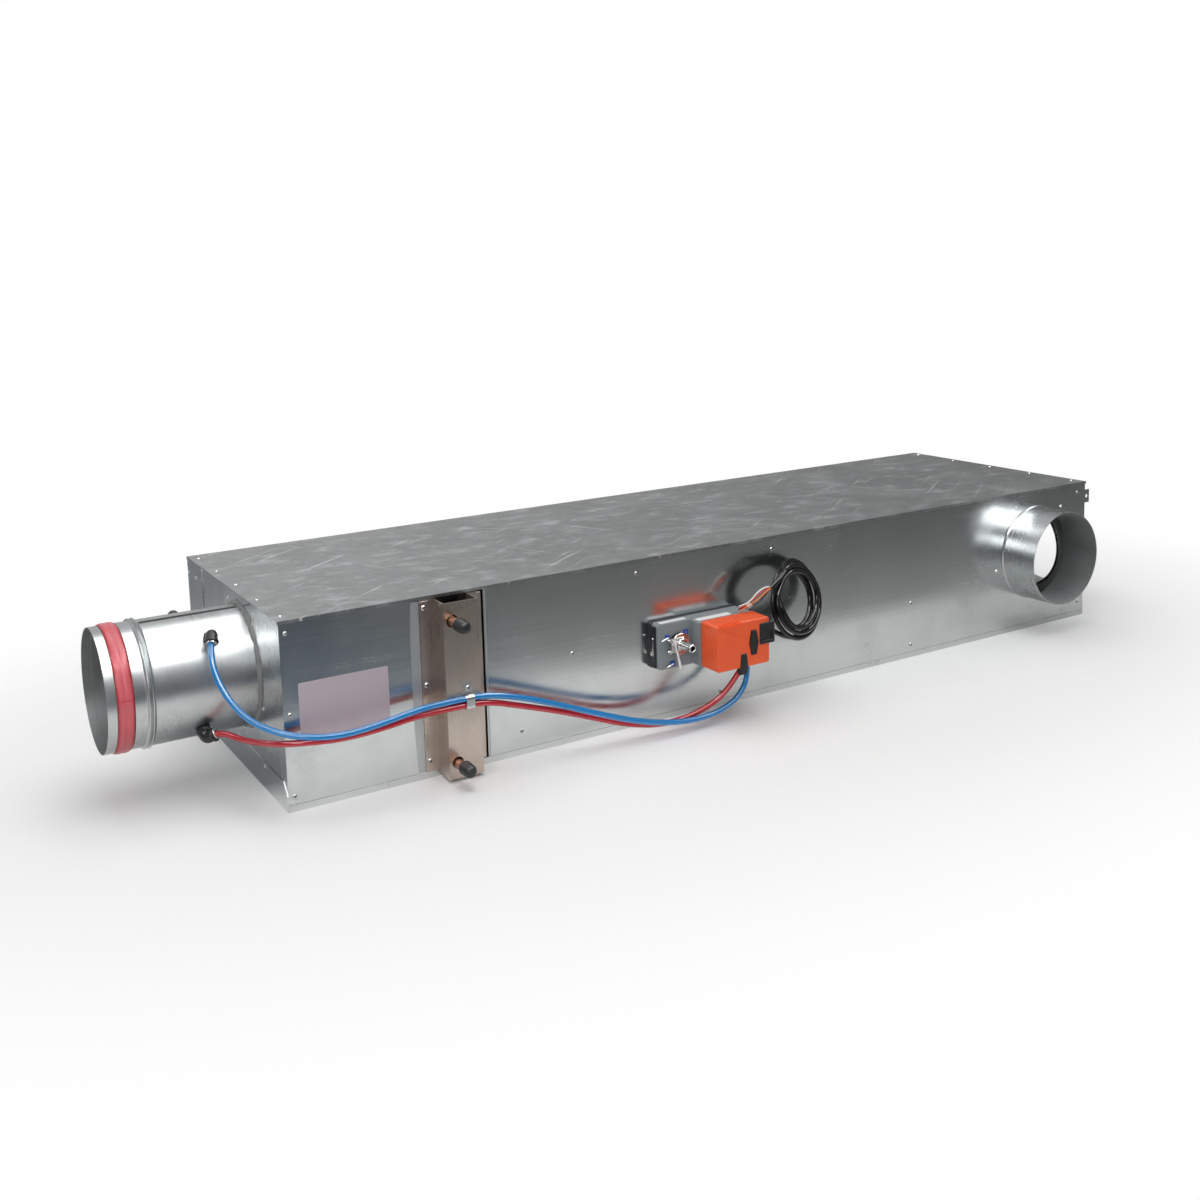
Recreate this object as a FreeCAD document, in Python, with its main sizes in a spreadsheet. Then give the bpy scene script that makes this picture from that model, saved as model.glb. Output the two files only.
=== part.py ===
import FreeCAD, Part
import math
import os
import Sketcher
from FreeCAD import Placement, Rotation, Vector

# Variable air volume induction unit, in millimetres, degrees and +Z up.
# Every sub-part is drawn in the casing's own frame: x runs along the casing from its inlet end,
# y runs into its depth from the front face, z runs up from the lower edge of the front panels.
# The placements then put the origin at the centre of the inlet spigot's open end.

SIZES = [
    ("length", 1450, "casing length"),
    ("depth", 415, "casing depth, front face to rear face"),
    ("height", 231, "front panels' lower edge to the top of the cover"),
    ("lip", 9, "height of the tray's lip under the panels"),
    ("sheet", 1, "casing sheet"),
    ("seam", 0.5, "open seam between sheets"),
    ("flange", 15, "width of the folded flanges"),
    ("upstand", 18, "tray's inner upstand"),
    ("tray_end", 27, "height of the tray's end flanges"),
    ("cover_lip", 3, "cover's folded edge"),
    ("overhang", 1.5, "cover's overhang at the ends"),
    ("return_wide", 76, "rear panel's return on the inlet end"),
    ("return_drop", 24, "mitre of that return under the cover"),
    ("reach", 184, "inlet spigot, end plate to rim"),
    ("inlet_y", 164, "inlet axis, from the front face"),
    ("inlet_drop", 95, "inlet axis, below the top of the cover"),
    ("duct", 79, "radius of the spigots"),
    ("wall", 1, "spigot sheet"),
    ("neck", 4, "spigot inside the casing"),
    ("bead_in", 46, "inlet bead, from the rim"),
    ("bead_wide", 10, "width of a bead"),
    ("bead_rise", 3.2, "rise of a bead"),
    ("groove_in", 11, "gasket groove, from the rim"),
    ("groove_wide", 21, "width of the gasket groove"),
    ("groove_deep", 1.2, "depth of the gasket groove"),
    ("gasket_rise", 2.4, "gasket's crest above the spigot"),
    ("sealant", 5, "bead of sealant round the inlet collar"),
    ("probe", 5, "radius of the measuring tubes"),
    ("probe_bore", 3.6, "bore of the measuring tubes"),
    ("probe_low_x", 53, "low-pressure tube, from the end plate"),
    ("probe_high_x", 69, "high-pressure tube, from the end plate"),
    ("probe_out", 4, "measuring tube outside the spigot"),
    ("fit", 0.05, "radial running clearance"),
    ("apart", 0.3, "gap between moving bodies"),
    ("elbow_rise", 15, "elbow's centre above the spigot"),
    ("elbow_body", 8, "radius of the elbow's barrel"),
    ("elbow_reach", 16, "elbow's centre to its mouth"),
    ("hose", 4, "radius of a hose"),
    ("slot_left", 180, "coil slot, inlet side"),
    ("slot_right", 271, "coil slot, damper side"),
    ("joggle", 12, "width of the raised strip beside the slot"),
    ("joggle_rise", 1.5, "rise of that strip"),
    ("coil_x", 212, "plane of the coil's tubes"),
    ("fin_deep", 40, "depth of the finned block"),
    ("fin_pitch", 8, "pitch of the fins"),
    ("fin_gap", 5, "open gap between fins"),
    ("fin_cut", 12, "depth of the gaps"),
    ("fin_low", 6, "finned block, lower face"),
    ("fin_drop", 9, "finned block, below the top of the cover"),
    ("coil_sheet", 1.5, "coil's casing sheet"),
    ("coil_back", 40, "tube sheet to the casing face at each end"),
    ("tube_past", 4, "straight tube past the tube sheets"),
    ("tube", 6, "radius of the coil's tubes"),
    ("tube_low", 16, "lowest tube"),
    ("tube_drop", 29, "highest tube, below the top of the cover"),
    ("stub", 70, "copper stub in front of the front face"),
    ("hat_left", 200, "hat channel, inlet side"),
    ("hat_wide", 48, "width of the hat channel"),
    ("hat_deep", 32, "hat channel in front of the front face"),
    ("hat_low", -5, "lower end of the hat channel"),
    ("hat_wing", 12, "hat channel's right flange"),
    ("wing", 19.5, "hat channel's left flange"),
    ("cap", 10.3, "radius of a pipe cap"),
    ("cap_long", 30, "length of a pipe cap"),
    ("clip_x", 223, "hose clip, inlet side"),
    ("clip_wide", 12, "width of the hose clip"),
    ("clip_sheet", 0.8, "strap of the hose clip"),
    ("clip_z", 99, "blue hose in the clip"),
    ("hose_gap", 9, "hose centres in the clip"),
    ("damper_x", 562, "damper axis"),
    ("damper_z", 107, "damper axis height"),
    ("shaft", 6, "radius of the damper shaft"),
    ("shaft_front", 58, "shaft in front of the front face"),
    ("blade", 82, "damper blade, axis to edge"),
    ("blade_sheet", 2, "thickness of the blade"),
    ("blade_hub", 9, "half height of the blade's hub"),
    ("frame_deep", 46, "depth of the damper frame"),
    ("frame_side", 8, "casing face to the damper opening"),
    ("seal", 1.2, "blade seal"),
    ("bush", 8, "radius of the shaft bushes"),
    ("nozzle_x", 650, "nozzle plate"),
    ("nozzle", 24, "radius of a nozzle's mouth"),
    ("nozzle_tip", 16, "radius of a nozzle's tip"),
    ("nozzle_long", 38, "length of a nozzle"),
    ("grille_x", 700, "induction opening, inlet side"),
    ("grille_long", 290, "length of the induction opening"),
    ("grille_wide", 296, "width of the induction opening"),
    ("grille_edge", 8, "grille's border on the tray"),
    ("slot_pitch", 24, "pitch of the grille's slots"),
    ("slot_wide", 14, "width of a slot"),
    ("baffle_x", 1032, "perforated baffle"),
    ("baffle_hole", 15, "radius of the baffle's holes"),
    ("outlet_in", 127, "front outlet axis, from the casing's outlet end"),
    ("outlet_drop", 108, "front outlet axis, below the top of the cover"),
    ("outlet_reach", 65, "front outlet, face to rim"),
    ("end_y", 135, "end outlet axis"),
    ("end_z", 98, "end outlet axis height"),
    ("end_reach", 60, "end outlet, face to rim"),
    ("base_left", 526, "actuator base, left end"),
    ("base_long", 120, "length of the actuator base"),
    ("base", 5, "thickness of the actuator base"),
    ("drive_left", 528, "actuator, left end"),
    ("drive_right", 680, "actuator, right end"),
    ("drive_low", 72, "actuator, lower side"),
    ("drive_wide", 66, "width of the actuator"),
    ("drive_floor", 22, "clamp side of the actuator, from the front face"),
    ("drive_step", 584, "where the drive's body rises"),
    ("cover_left", 588, "left end of the drive's cover"),
    ("cover_back", 42, "drive cover, back edge"),
    ("cover_front", 79, "drive cover, front face"),
    ("draft", 3, "drive cover's chamfer"),
    ("button_x", 651.5, "release button"),
    ("button_z", 105.5, "release button height"),
    ("button_tall", 35, "release button, length"),
    ("button_wide", 15, "release button, width"),
    ("button_end", 8, "release button, width of its ends"),
    ("button_proud", 2.5, "button in front of the cover"),
    ("button_deep", 5, "button behind the cover's face"),
    ("travel", 2, "button travel"),
    ("socket_left", 662, "service socket, left side"),
    ("socket_wide", 26, "service socket, width"),
    ("socket_low", 100, "service socket, lower side"),
    ("socket_tall", 31, "service socket, height"),
    ("socket_back", 58, "service socket, back face"),
    ("socket_front", 81, "service socket, front face"),
    ("port_x", 634, "high-pressure port"),
    ("port_y", 72, "high-pressure port, from the front face"),
    ("port_tip", 62, "high-pressure port, lower end"),
    ("low_x", 662, "low-pressure port"),
    ("low_y", 50, "low-pressure port, from the front face"),
    ("low_tip", 66, "low-pressure port, lower end"),
    ("gland", 5.5, "radius of the cable gland"),
    ("gland_long", 12, "length of the cable gland"),
    ("cable_y", 42, "cable, from the front face"),
    ("cable_z", 108, "cable height at the gland"),
    ("cable", 3.5, "radius of the cable"),
    ("coil_ring", 53, "mean radius of the cable coil"),
    ("coil_fat", 12, "radius of the coil's section"),
    ("clamp", 12, "radius of the spindle clamp"),
    ("clamp_thick", 9, "thickness of the spindle clamp"),
    ("bolt", 1.8, "radius of the clamp bolt"),
    ("pointer", 42, "length of the pointer"),
    ("stop", 7, "size of an end stop"),
    ("screw", 2.8, "radius of a screw head"),
    ("screw_tall", 1.6, "height of a screw head"),
    ("shank", 1.6, "radius of a screw's shank"),
    ("shank_long", 4, "length of a screw's shank"),
    ("edge", 10, "screws from the casing's ends"),
    ("cover_first", 22, "first cover screw, from the front face"),
    ("label_x", 20, "label plate, left side"),
    ("label_wide", 116, "label plate, width"),
    ("label_z", 78.5, "label plate, lower side"),
    ("label_tall", 72, "label plate, height"),
    ("label_thick", 0.3, "label plate"),
    ("lug_drop", 39, "corner lug's lower side, below the top of the cover"),
    ("lug_tall", 23, "corner lug, height"),
    ("lug_reach", 15, "corner lug beyond the end plate"),
    ("lug_sheet", 1.5, "corner lug's sheet"),
    ("lug_hole", 3.2, "radius of the lug's hole"),
]

doc = FreeCAD.newDocument("induction_unit")
dim = doc.addObject("Spreadsheet::Sheet", "dim")
for row, (alias, size, meaning) in enumerate(SIZES, start=1):
    dim.set(f"A{row}", meaning)
    dim.set(f"B{row}", str(size))
    dim.setAlias(f"B{row}", alias)
doc.recompute()

parts = []

INLET_Z = "(height - inlet_drop)"
BEAD = ("(bead_in - reach)", "(bead_in + bead_wide - reach)")
GROOVE = ("(groove_in - reach)", "(groove_in + groove_wide - reach)")
FIN_HIGH = "(height - fin_drop)"
OUTLET_X, OUTLET_Z = "(length - outlet_in)", "(height - outlet_drop)"
LUG_Z = "(height - lug_drop)"


# Helpers

def expression(text):
    """Turns plain size names such as "length - sheet" into a cell expression."""
    words = []
    name = ""
    for sign in text + " ":
        if sign.isalpha() or sign == "_":
            name += sign
        else:
            words.append(f"dim.{name}" if name else "")
            words.append(sign)
            name = ""
    return "".join(words).strip()


def value(text):
    """The number that an expression of sizes gives."""
    return float(dim.evalExpression(expression(str(text))))


def bind(item, field, text):
    item.setExpression(field, expression(str(text)))


def seat(item, x="0", y="0", z="0", turn=None):
    """Places a sub-part at a point of the casing's frame, turned if asked."""
    if turn:
        item.Placement = Placement(Vector(), turn)
    bind(item, "Placement.Base.x", f"{x} + reach")
    bind(item, "Placement.Base.y", f"{y} - inlet_y")
    bind(item, "Placement.Base.z", f"{z} - {INLET_Z}")


def new_body(label, x="0", y="0", z="0", turn=None):
    body = doc.addObject("PartDesign::Body", label)
    body.Label = label
    seat(body, x, y, z, turn)
    parts.append(body)
    return body


def finish_part(item, label, x="0", y="0", z="0", turn=None):
    """Names the last object of a construction as the sub-part."""
    item.Label = label
    seat(item, x, y, z, turn)
    parts.append(item)
    return item


AXES = {"XY": "XY_Plane", "XZ": "XZ_Plane", "YZ": "YZ_Plane"}


def new_sketch(body, plane, level="0"):
    """A sketch on a plane of the body, at a coordinate along the plane's own axis."""
    sketch = body.newObject("Sketcher::SketchObject", "Sketch")
    role = AXES[plane]
    support = next(f for f in body.Origin.OriginFeatures if f.Role == role)
    sketch.AttachmentSupport = [(support, "")]
    sketch.MapMode = "FlatFace"
    bind(sketch, "AttachmentOffset.Base.z", f"-({level})" if plane == "XZ" else level)
    return sketch


def pin_point(sketch, item, end, x, y):
    """Ties a sketch point to the sizes."""
    across = sketch.addConstraint(Sketcher.Constraint("DistanceX", -1, 1, item, end, value(x)))
    bind(sketch, f"Constraints[{across}]", x)
    up = sketch.addConstraint(Sketcher.Constraint("DistanceY", -1, 1, item, end, value(y)))
    bind(sketch, f"Constraints[{up}]", y)


def arc_middle(start, end, radius, side):
    """Middle of the shorter arc between two points, bulging to their left (1) or right (-1)."""
    chord = end - start
    half = chord.Length / 2
    rise = radius - math.sqrt(max(radius * radius - half * half, 0))
    return (start + end) / 2 + Vector(-chord.y, chord.x, 0).normalize() * (side * rise)


def add_loop(sketch, corners):
    """A closed outline. A corner is (x, y), or (x, y, radius, side) where an arc leads to the next one."""
    points = [Vector(value(c[0]), value(c[1]), 0) for c in corners]
    ends = []
    for corner, start, end in zip(corners, points, points[1:] + points[:1]):
        if len(corner) == 2:
            ends.append((sketch.addGeometry(Part.LineSegment(start, end)), 1, 2))
            continue
        middle = arc_middle(start, end, value(corner[2]), corner[3])
        if corner[3] > 0:
            ends.append((sketch.addGeometry(Part.Arc(end, middle, start)), 2, 1))
        else:
            ends.append((sketch.addGeometry(Part.Arc(start, middle, end)), 1, 2))
        tie = sketch.addConstraint(Sketcher.Constraint("Radius", ends[-1][0], value(corner[2])))
        bind(sketch, f"Constraints[{tie}]", corner[2])
    for corner, (item, first, last), (follower, entry, _) in zip(corners, ends, ends[1:] + ends[:1]):
        sketch.addConstraint(Sketcher.Constraint("Coincident", item, last, follower, entry))
        pin_point(sketch, item, first, corner[0], corner[1])


def add_box(sketch, left, right, low, high):
    add_loop(sketch, [(left, low), (right, low), (right, high), (left, high)])


def add_circle(sketch, x, y, radius):
    centre = Vector(value(x), value(y), 0)
    item = sketch.addGeometry(Part.Circle(centre, Vector(0, 0, 1), value(radius)))
    tie = sketch.addConstraint(Sketcher.Constraint("Radius", item, value(radius)))
    bind(sketch, f"Constraints[{tie}]", radius)
    pin_point(sketch, item, 3, x, y)


def extrude(body, sketch, plane, low, high, kind="Pad"):
    """Pads or pockets a sketch from one coordinate to another along its plane's axis."""
    bind(sketch, "AttachmentOffset.Base.z", f"-({high})" if plane == "XZ" else low)
    feature = body.newObject(f"PartDesign::{kind}", kind)
    feature.Profile = sketch
    feature.Length = value(f"({high}) - ({low})")
    bind(feature, "Length", f"({high}) - ({low})")
    feature.Reversed = kind == "Pocket"
    doc.recompute()
    return feature


def pad_loop(body, plane, corners, low, high):
    sketch = new_sketch(body, plane)
    add_loop(sketch, corners)
    return extrude(body, sketch, plane, low, high)


def pad_box(body, plane, sides, low, high):
    sketch = new_sketch(body, plane)
    add_box(sketch, *sides)
    return extrude(body, sketch, plane, low, high)


def cut_box(body, plane, sides, low, high):
    sketch = new_sketch(body, plane)
    add_box(sketch, *sides)
    return extrude(body, sketch, plane, low, high, "Pocket")


def cut_holes(body, plane, holes, low, high):
    """Round holes, each given as x, y and radius in the sketch."""
    sketch = new_sketch(body, plane)
    for x, y, radius in holes:
        add_circle(sketch, x, y, radius)
    return extrude(body, sketch, plane, low, high, "Pocket")


def revolve(body, corners, kind="Revolution"):
    """Turns an outline of (distance along the axis, radius) about the body's X axis."""
    sketch = new_sketch(body, "XY")
    add_loop(sketch, corners)
    feature = body.newObject(f"PartDesign::{kind}", kind)
    feature.Profile = sketch
    axis = next(f for f in body.Origin.OriginFeatures if f.Role == "X_Axis")
    feature.ReferenceAxis = (axis, [""])
    feature.Angle = 360
    doc.recompute()
    return feature


def repeat(body, feature, role, span, count):
    """Repeats a feature along an axis of the body, over a whole span."""
    pattern = body.newObject("PartDesign::LinearPattern", "LinearPattern")
    pattern.Originals = [feature]
    axis = next(f for f in body.Origin.OriginFeatures if f.Role == role)
    pattern.Direction = (axis, [""])
    pattern.Length = value(span)
    bind(pattern, "Length", span)
    pattern.Occurrences = count
    body.Tip = pattern
    doc.recompute()
    return pattern


def dress(body, kind, size, choose):
    """Rounds or chamfers the edges of the body's tip that the test chooses."""
    base = body.Tip
    names = [f"Edge{i}" for i, edge in enumerate(base.Shape.Edges, start=1) if choose(edge)]
    feature = body.newObject(f"PartDesign::{kind}", kind)
    feature.Base = (base, names)
    bind(feature, "Radius" if kind == "Fillet" else "Size", size)
    doc.recompute()
    return feature


def primitive(kind, sizes, x="0", y="0", z="0", turn=None):
    """A primitive whose sizes and place are tied to the sheet."""
    item = doc.addObject(f"Part::{kind}", kind)
    for field, text in sizes.items():
        bind(item, field, text)
    if turn:
        item.Placement = Placement(Vector(), turn)
    for letter, text in (("x", x), ("y", y), ("z", z)):
        bind(item, f"Placement.Base.{letter}", text)
    return item


def fuse(items):
    whole = doc.addObject("Part::MultiFuse", "Fuse")
    whole.Shapes = items
    return whole


def subtract(base, tool):
    whole = doc.addObject("Part::Cut", "Cut")
    whole.Base = base
    whole.Tool = tool
    return whole


def group(items):
    whole = doc.addObject("Part::Compound", "Group")
    whole.Links = items
    return whole


TO_FRONT = Rotation(Vector(0, 0, 1), -90)
Z_TO_FRONT = Rotation(Vector(1, 0, 0), 90)
Z_TO_REAR = Rotation(Vector(1, 0, 0), -90)
Z_TO_INLET = Rotation(Vector(0, 1, 0), -90)
Z_TO_RIGHT = Rotation(Vector(0, 1, 0), 90)


# Casing

def bottom_tray():
    """Tray with a lip and an inner upstand at the front and rear, and tall flanges at its ends."""
    body = new_body("bottom_tray")
    rear = "depth"
    profile = [("0", "-lip"), (rear, "-lip"), (rear, "-seam"), (f"{rear} - sheet", "-seam"),
               (f"{rear} - sheet", "-lip + sheet"), ("sheet", "-lip + sheet"), ("sheet", "-seam"),
               ("0", "-seam")]
    pad_loop(body, "YZ", profile, "0", "length")
    for near, far in (("sheet", "2 * sheet"), ("depth - 2 * sheet", "depth - sheet")):
        stand = (near, far, "-seam - 2 * sheet", "upstand")
        pad_box(body, "YZ", stand, "2 * sheet", "slot_left - joggle")
        stand = (near, far, "-seam - 2 * sheet", "upstand")
        pad_box(body, "YZ", stand, "slot_right + sheet", "length - 2 * sheet")
    flange = [("0", "-lip"), ("depth", "-lip"), ("depth", "tray_end - flange"),
              ("depth - flange", "tray_end"), ("flange", "tray_end"), ("0", "tray_end - flange")]
    pad_loop(body, "YZ", flange, "-sheet", "0")
    pad_loop(body, "YZ", flange, "length", "length + sheet")
    opening = ("grille_x", "grille_x + grille_long", "(depth - grille_wide) / 2", "(depth + grille_wide) / 2")
    cut_box(body, "XY", opening, "-lip", "-lip + sheet")
    cut_holes(body, "YZ", [("end_y", "end_z", "duct + 17")], "length", "length + sheet")
    cut_holes(body, "YZ", [("inlet_y", INLET_Z, "duct + 17")], "-sheet", "0")


COVER_ROWS = [f"cover_first + {i} * (depth - 2 * cover_first) / 4" for i in range(5)]


def top_cover():
    """Flat cover with a narrow folded edge over the front and rear panels."""
    body = new_body("top_cover")
    profile = [("-sheet", "height"), ("-sheet", "height - sheet - cover_lip"),
               ("0", "height - sheet - cover_lip"), ("0", "height - sheet"), ("depth", "height - sheet"),
               ("depth", "height - sheet - cover_lip"), ("depth + sheet", "height - sheet - cover_lip"),
               ("depth + sheet", "height")]
    pad_loop(body, "YZ", profile, "-overhang", "length + overhang")
    holes = [(x, y, "shank + fit") for x in ("edge", "length - edge") for y in COVER_ROWS]
    cut_holes(body, "XY", holes, "height - sheet", "height")


def end_plate(label, near, far, inward, hole_y, hole_z):
    """End plate with inward flanges, round the hole of its spigot."""
    body = new_body(label)
    sides = ("sheet", "depth - sheet", "-lip + sheet", "height - sheet")
    pad_box(body, "YZ", sides, near, far)
    low, high = (far, f"{far} + flange") if inward > 0 else (f"{near} - flange", near)
    for front, back in (("sheet", "2 * sheet"), ("depth - 2 * sheet", "depth - sheet")):
        pad_box(body, "YZ", (front, back, "upstand + seam", "height - 2 * sheet - seam"), low, high)
    top = ("2 * sheet", "depth - 2 * sheet", "height - 2 * sheet", "height - sheet")
    pad_box(body, "YZ", top, low, high)
    cut_holes(body, "YZ", [(hole_y, hole_z, "duct + fit")], near, far)
    row = "edge" if inward > 0 else "length - edge"
    holes = [(row, y, "shank + fit") for y in COVER_ROWS]
    cut_holes(body, "XY", holes, "height - 2 * sheet", "height - sheet")


def front_panel_left():
    """Short front panel, with a raised strip beside the coil slot."""
    body = new_body("front_panel_left")
    plan = [("0", "0"), ("slot_left - joggle", "0"), ("slot_left", "-joggle_rise"),
            ("slot_left", "sheet - joggle_rise"), ("slot_left - joggle", "sheet"), ("0", "sheet")]
    pad_loop(body, "XY", plan, "0", "height - sheet")
    strip = ("slot_left - joggle", "slot_left", "height - sheet - cover_lip - seam", "height - sheet")
    cut_box(body, "XZ", strip, "-joggle_rise", "sheet")
    sides = ("flange + 2 * sheet", "slot_left - joggle", "sheet", "flange")
    pad_box(body, "XY", sides, "height - 2 * sheet", "height - sheet")


def front_panel_main():
    """Long front panel, folded in at the coil slot, with the outlet and shaft holes."""
    body = new_body("front_panel_main")
    plan = [("slot_right", "0"), ("length", "0"), ("length", "sheet"), ("slot_right + sheet", "sheet"),
            ("slot_right + sheet", "flange"), ("slot_right", "flange")]
    pad_loop(body, "XY", plan, "0", "height - sheet")
    sides = ("slot_right + sheet", "length - flange - 2 * sheet", "sheet", "flange")
    pad_box(body, "XY", sides, "height - 2 * sheet", "height - sheet")
    holes = [(OUTLET_X, OUTLET_Z, "duct + fit"), ("damper_x", "damper_z", "bush + fit")]
    cut_holes(body, "XZ", holes, "0", "sheet")


def rear_panel():
    """Rear panel in one length, with a mitred return over the inlet end."""
    body = new_body("rear_panel")
    pad_box(body, "XZ", ("-sheet", "length", "tray_end + seam", "height - sheet"), "depth - sheet", "depth")
    pad_box(body, "XZ", ("0", "length", "0", "tray_end + seam"), "depth - sheet", "depth")
    back = [("depth - return_wide", "tray_end + seam"), ("depth - sheet", "tray_end + seam"),
            ("depth - sheet", "height - sheet - return_drop"),
            ("depth - return_wide", "height - sheet - seam")]
    pad_loop(body, "YZ", back, "-sheet", "0")
    sides = ("flange + 2 * sheet", "length - flange - 2 * sheet", "depth - flange", "depth - sheet")
    pad_box(body, "XY", sides, "height - 2 * sheet", "height - sheet")


# Spigots, each drawn along its own axis from the outer face of its panel

def bead_radius(wide, rise):
    return f"(({wide}) * ({wide}) / 4 + ({rise}) * ({rise})) / (2 * ({rise}))"


def inlet_spigot():
    """Male spigot with a rolled rim, a gasket groove and a stop bead, drilled for the probes."""
    body = new_body("inlet_spigot", y="inlet_y", z=INLET_Z)
    round_out = bead_radius("bead_wide", "bead_rise")
    round_in = bead_radius("bead_wide - 2 * wall", "bead_rise")
    inner = "duct - wall"
    far, near = GROOVE
    outline = [("-reach", inner), ("-reach", "duct"), (far, "duct"),
               (f"{far} + groove_deep", "duct - groove_deep"),
               (f"{near} - groove_deep", "duct - groove_deep"), (near, "duct"),
               (BEAD[0], "duct", round_out, 1), (BEAD[1], "duct"),
               ("neck", "duct"), ("neck", inner), (f"{BEAD[1]} - wall", inner, round_in, -1),
               (f"{BEAD[0]} + wall", inner), (near, inner),
               (f"{near} - groove_deep", f"{inner} - groove_deep"),
               (f"{far} + groove_deep", f"{inner} - groove_deep"), (far, inner)]
    revolve(body, outline)
    for x, angle in (("-probe_low_x", 45), ("-probe_high_x", -45)):
        drill_spigot(body, x, angle)


def probe_turn(angle):
    """Turns +Z to the direction across the spigot, measured up from the front."""
    return Rotation(Vector(1, 0, 0), 90 - angle)


def add_drill(body, radius, length, turn, start):
    """A round hole from a point of the body, along the turned Z direction."""
    drill = body.newObject("PartDesign::SubtractiveCylinder", "Drill")
    support = next(f for f in body.Origin.OriginFeatures if f.Role == "XY_Plane")
    drill.AttachmentSupport = [(support, "")]
    drill.MapMode = "FlatFace"
    drill.AttachmentOffset = Placement(Vector(), turn)
    bind(drill, "Radius", radius)
    bind(drill, "Height", length)
    for letter, text in zip("xyz", start):
        bind(drill, f"AttachmentOffset.Base.{letter}", text)
    doc.recompute()


def drill_spigot(body, x, angle):
    """A hole through both walls of the spigot, across its axis at an angle."""
    turn = probe_turn(angle)
    axis = turn.multVec(Vector(0, 0, 1))
    start = (x, f"{-axis.y:.6f} * (duct + 10)", f"{-axis.z:.6f} * (duct + 10)")
    add_drill(body, "probe + fit", "2 * duct + 20", turn, start)


def inlet_gasket():
    """Rubber gasket in the groove, with one soft crest."""
    body = new_body("inlet_gasket", y="inlet_y", z=INLET_Z)
    far, near = GROOVE
    floor = "duct - groove_deep"
    crest = bead_radius("groove_wide - 2 * seam", "gasket_rise")
    revolve(body, [(f"{far} + groove_deep", floor), (f"{far} + groove_deep / 2", "duct"),
                   (f"{far} + seam", "duct + seam", crest, 1), (f"{near} - seam", "duct + seam"),
                   (f"{near} - groove_deep / 2", "duct"), (f"{near} - groove_deep", floor)])


def inlet_collar():
    """Sealed collar between the spigot and the end plate."""
    body = new_body("inlet_collar", y="inlet_y", z=INLET_Z)
    revolve(body, [("-sealant", "duct"), ("-sealant", "duct + sealant / 2"),
                   ("-sealant / 2", "duct + sealant"), ("0", "duct + sealant + sheet"), ("0", "duct")])


def outlet_spigot(label, reach, x, y, z, turn=None):
    """Plain spigot with a bead against the panel and a flange behind it."""
    body = new_body(label, x, y, z, turn)
    inner = "duct - wall"
    outline = [(reach, inner), (reach, "duct"), ("bead_wide / 2", "duct"), ("0", "duct + bead_rise"),
               ("0", "duct"), ("-sheet", "duct"), ("-sheet", "duct + neck"), ("-2 * sheet", "duct + neck"),
               ("-2 * sheet", inner), ("bead_wide / 4", inner)]
    revolve(body, outline)
    middle = f"({reach}) * 0.72"
    curve = bead_radius("bead_wide / 2", "bead_rise / 3")
    revolve(body, [(f"{middle} - bead_wide / 4", "duct", curve, 1), (f"{middle} + bead_wide / 4", "duct"),
                   (f"{middle} + bead_wide / 4", "duct - wall / 2"),
                   (f"{middle} - bead_wide / 4", "duct - wall / 2")])


# Flow measurement

def measuring_tube(label, x, angle, facing):
    """Aluminium tube across the spigot, drilled towards or away from the flow."""
    body = new_body(label, x, "inlet_y", INLET_Z, probe_turn(angle))
    sketch = new_sketch(body, "XY")
    add_circle(sketch, "0", "0", "probe")
    add_circle(sketch, "0", "0", "probe_bore")
    extrude(body, sketch, "XY", "-duct - probe_out", "duct + probe_out")
    sketch = new_sketch(body, "YZ")
    for step in (-5, -3, -1, 1, 3, 5):
        add_circle(sketch, "0", f"{step} * duct / 6", "probe_bore / 2")
    low, high = ("-probe", "0") if facing < 0 else ("0", "probe")
    extrude(body, sketch, "YZ", low, high, "Pocket")


def elbow(label, x, angle, swing):
    """Push-in elbow: a hexagon seat, a stem out of the spigot and a barrel for the hose."""
    hexagon = primitive("Prism", {"Polygon": "6", "Circumradius": "elbow_body + 2", "Height": "7"}, z="seam")
    stem = primitive("Cylinder", {"Radius": "elbow_body", "Height": "elbow_rise - seam"}, z="seam")
    knee = primitive("Sphere", {"Radius": "elbow_body + 0.6"}, z="elbow_rise")
    barrel = primitive("Cylinder", {"Radius": "elbow_body - 0.7", "Height": "elbow_reach"}, z="elbow_rise",
                       turn=Z_TO_RIGHT)
    collar = primitive("Cylinder", {"Radius": "elbow_body + 1.5", "Height": "4"}, x="elbow_reach - 6",
                       z="elbow_rise", turn=Z_TO_RIGHT)
    socket = primitive("Cylinder", {"Radius": "probe + fit", "Height": "probe_out + seam"})
    mouth = primitive("Cylinder", {"Radius": "hose + fit", "Height": "4"}, x="elbow_reach - 4",
                      z="elbow_rise", turn=Z_TO_RIGHT)
    solid = subtract(fuse([hexagon, stem, knee, barrel, collar]), fuse([socket, mouth]))
    finish_part(solid, label)
    place_on_spigot(solid, x, angle, swing)


def place_on_spigot(item, x, angle, swing=0):
    """Stands a piece on the spigot's skin, its own Z outwards and its own X swung from the axis."""
    turn = probe_turn(angle).multiply(Rotation(Vector(0, 0, 1), swing))
    outward = turn.multVec(Vector(0, 0, 1))
    item.Placement = Placement(Vector(), turn)
    bind(item, "Placement.Base.x", f"reach + {x}")
    bind(item, "Placement.Base.y", f"{outward.y:.6f} * duct")
    bind(item, "Placement.Base.z", f"{outward.z:.6f} * duct")
    return turn


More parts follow.
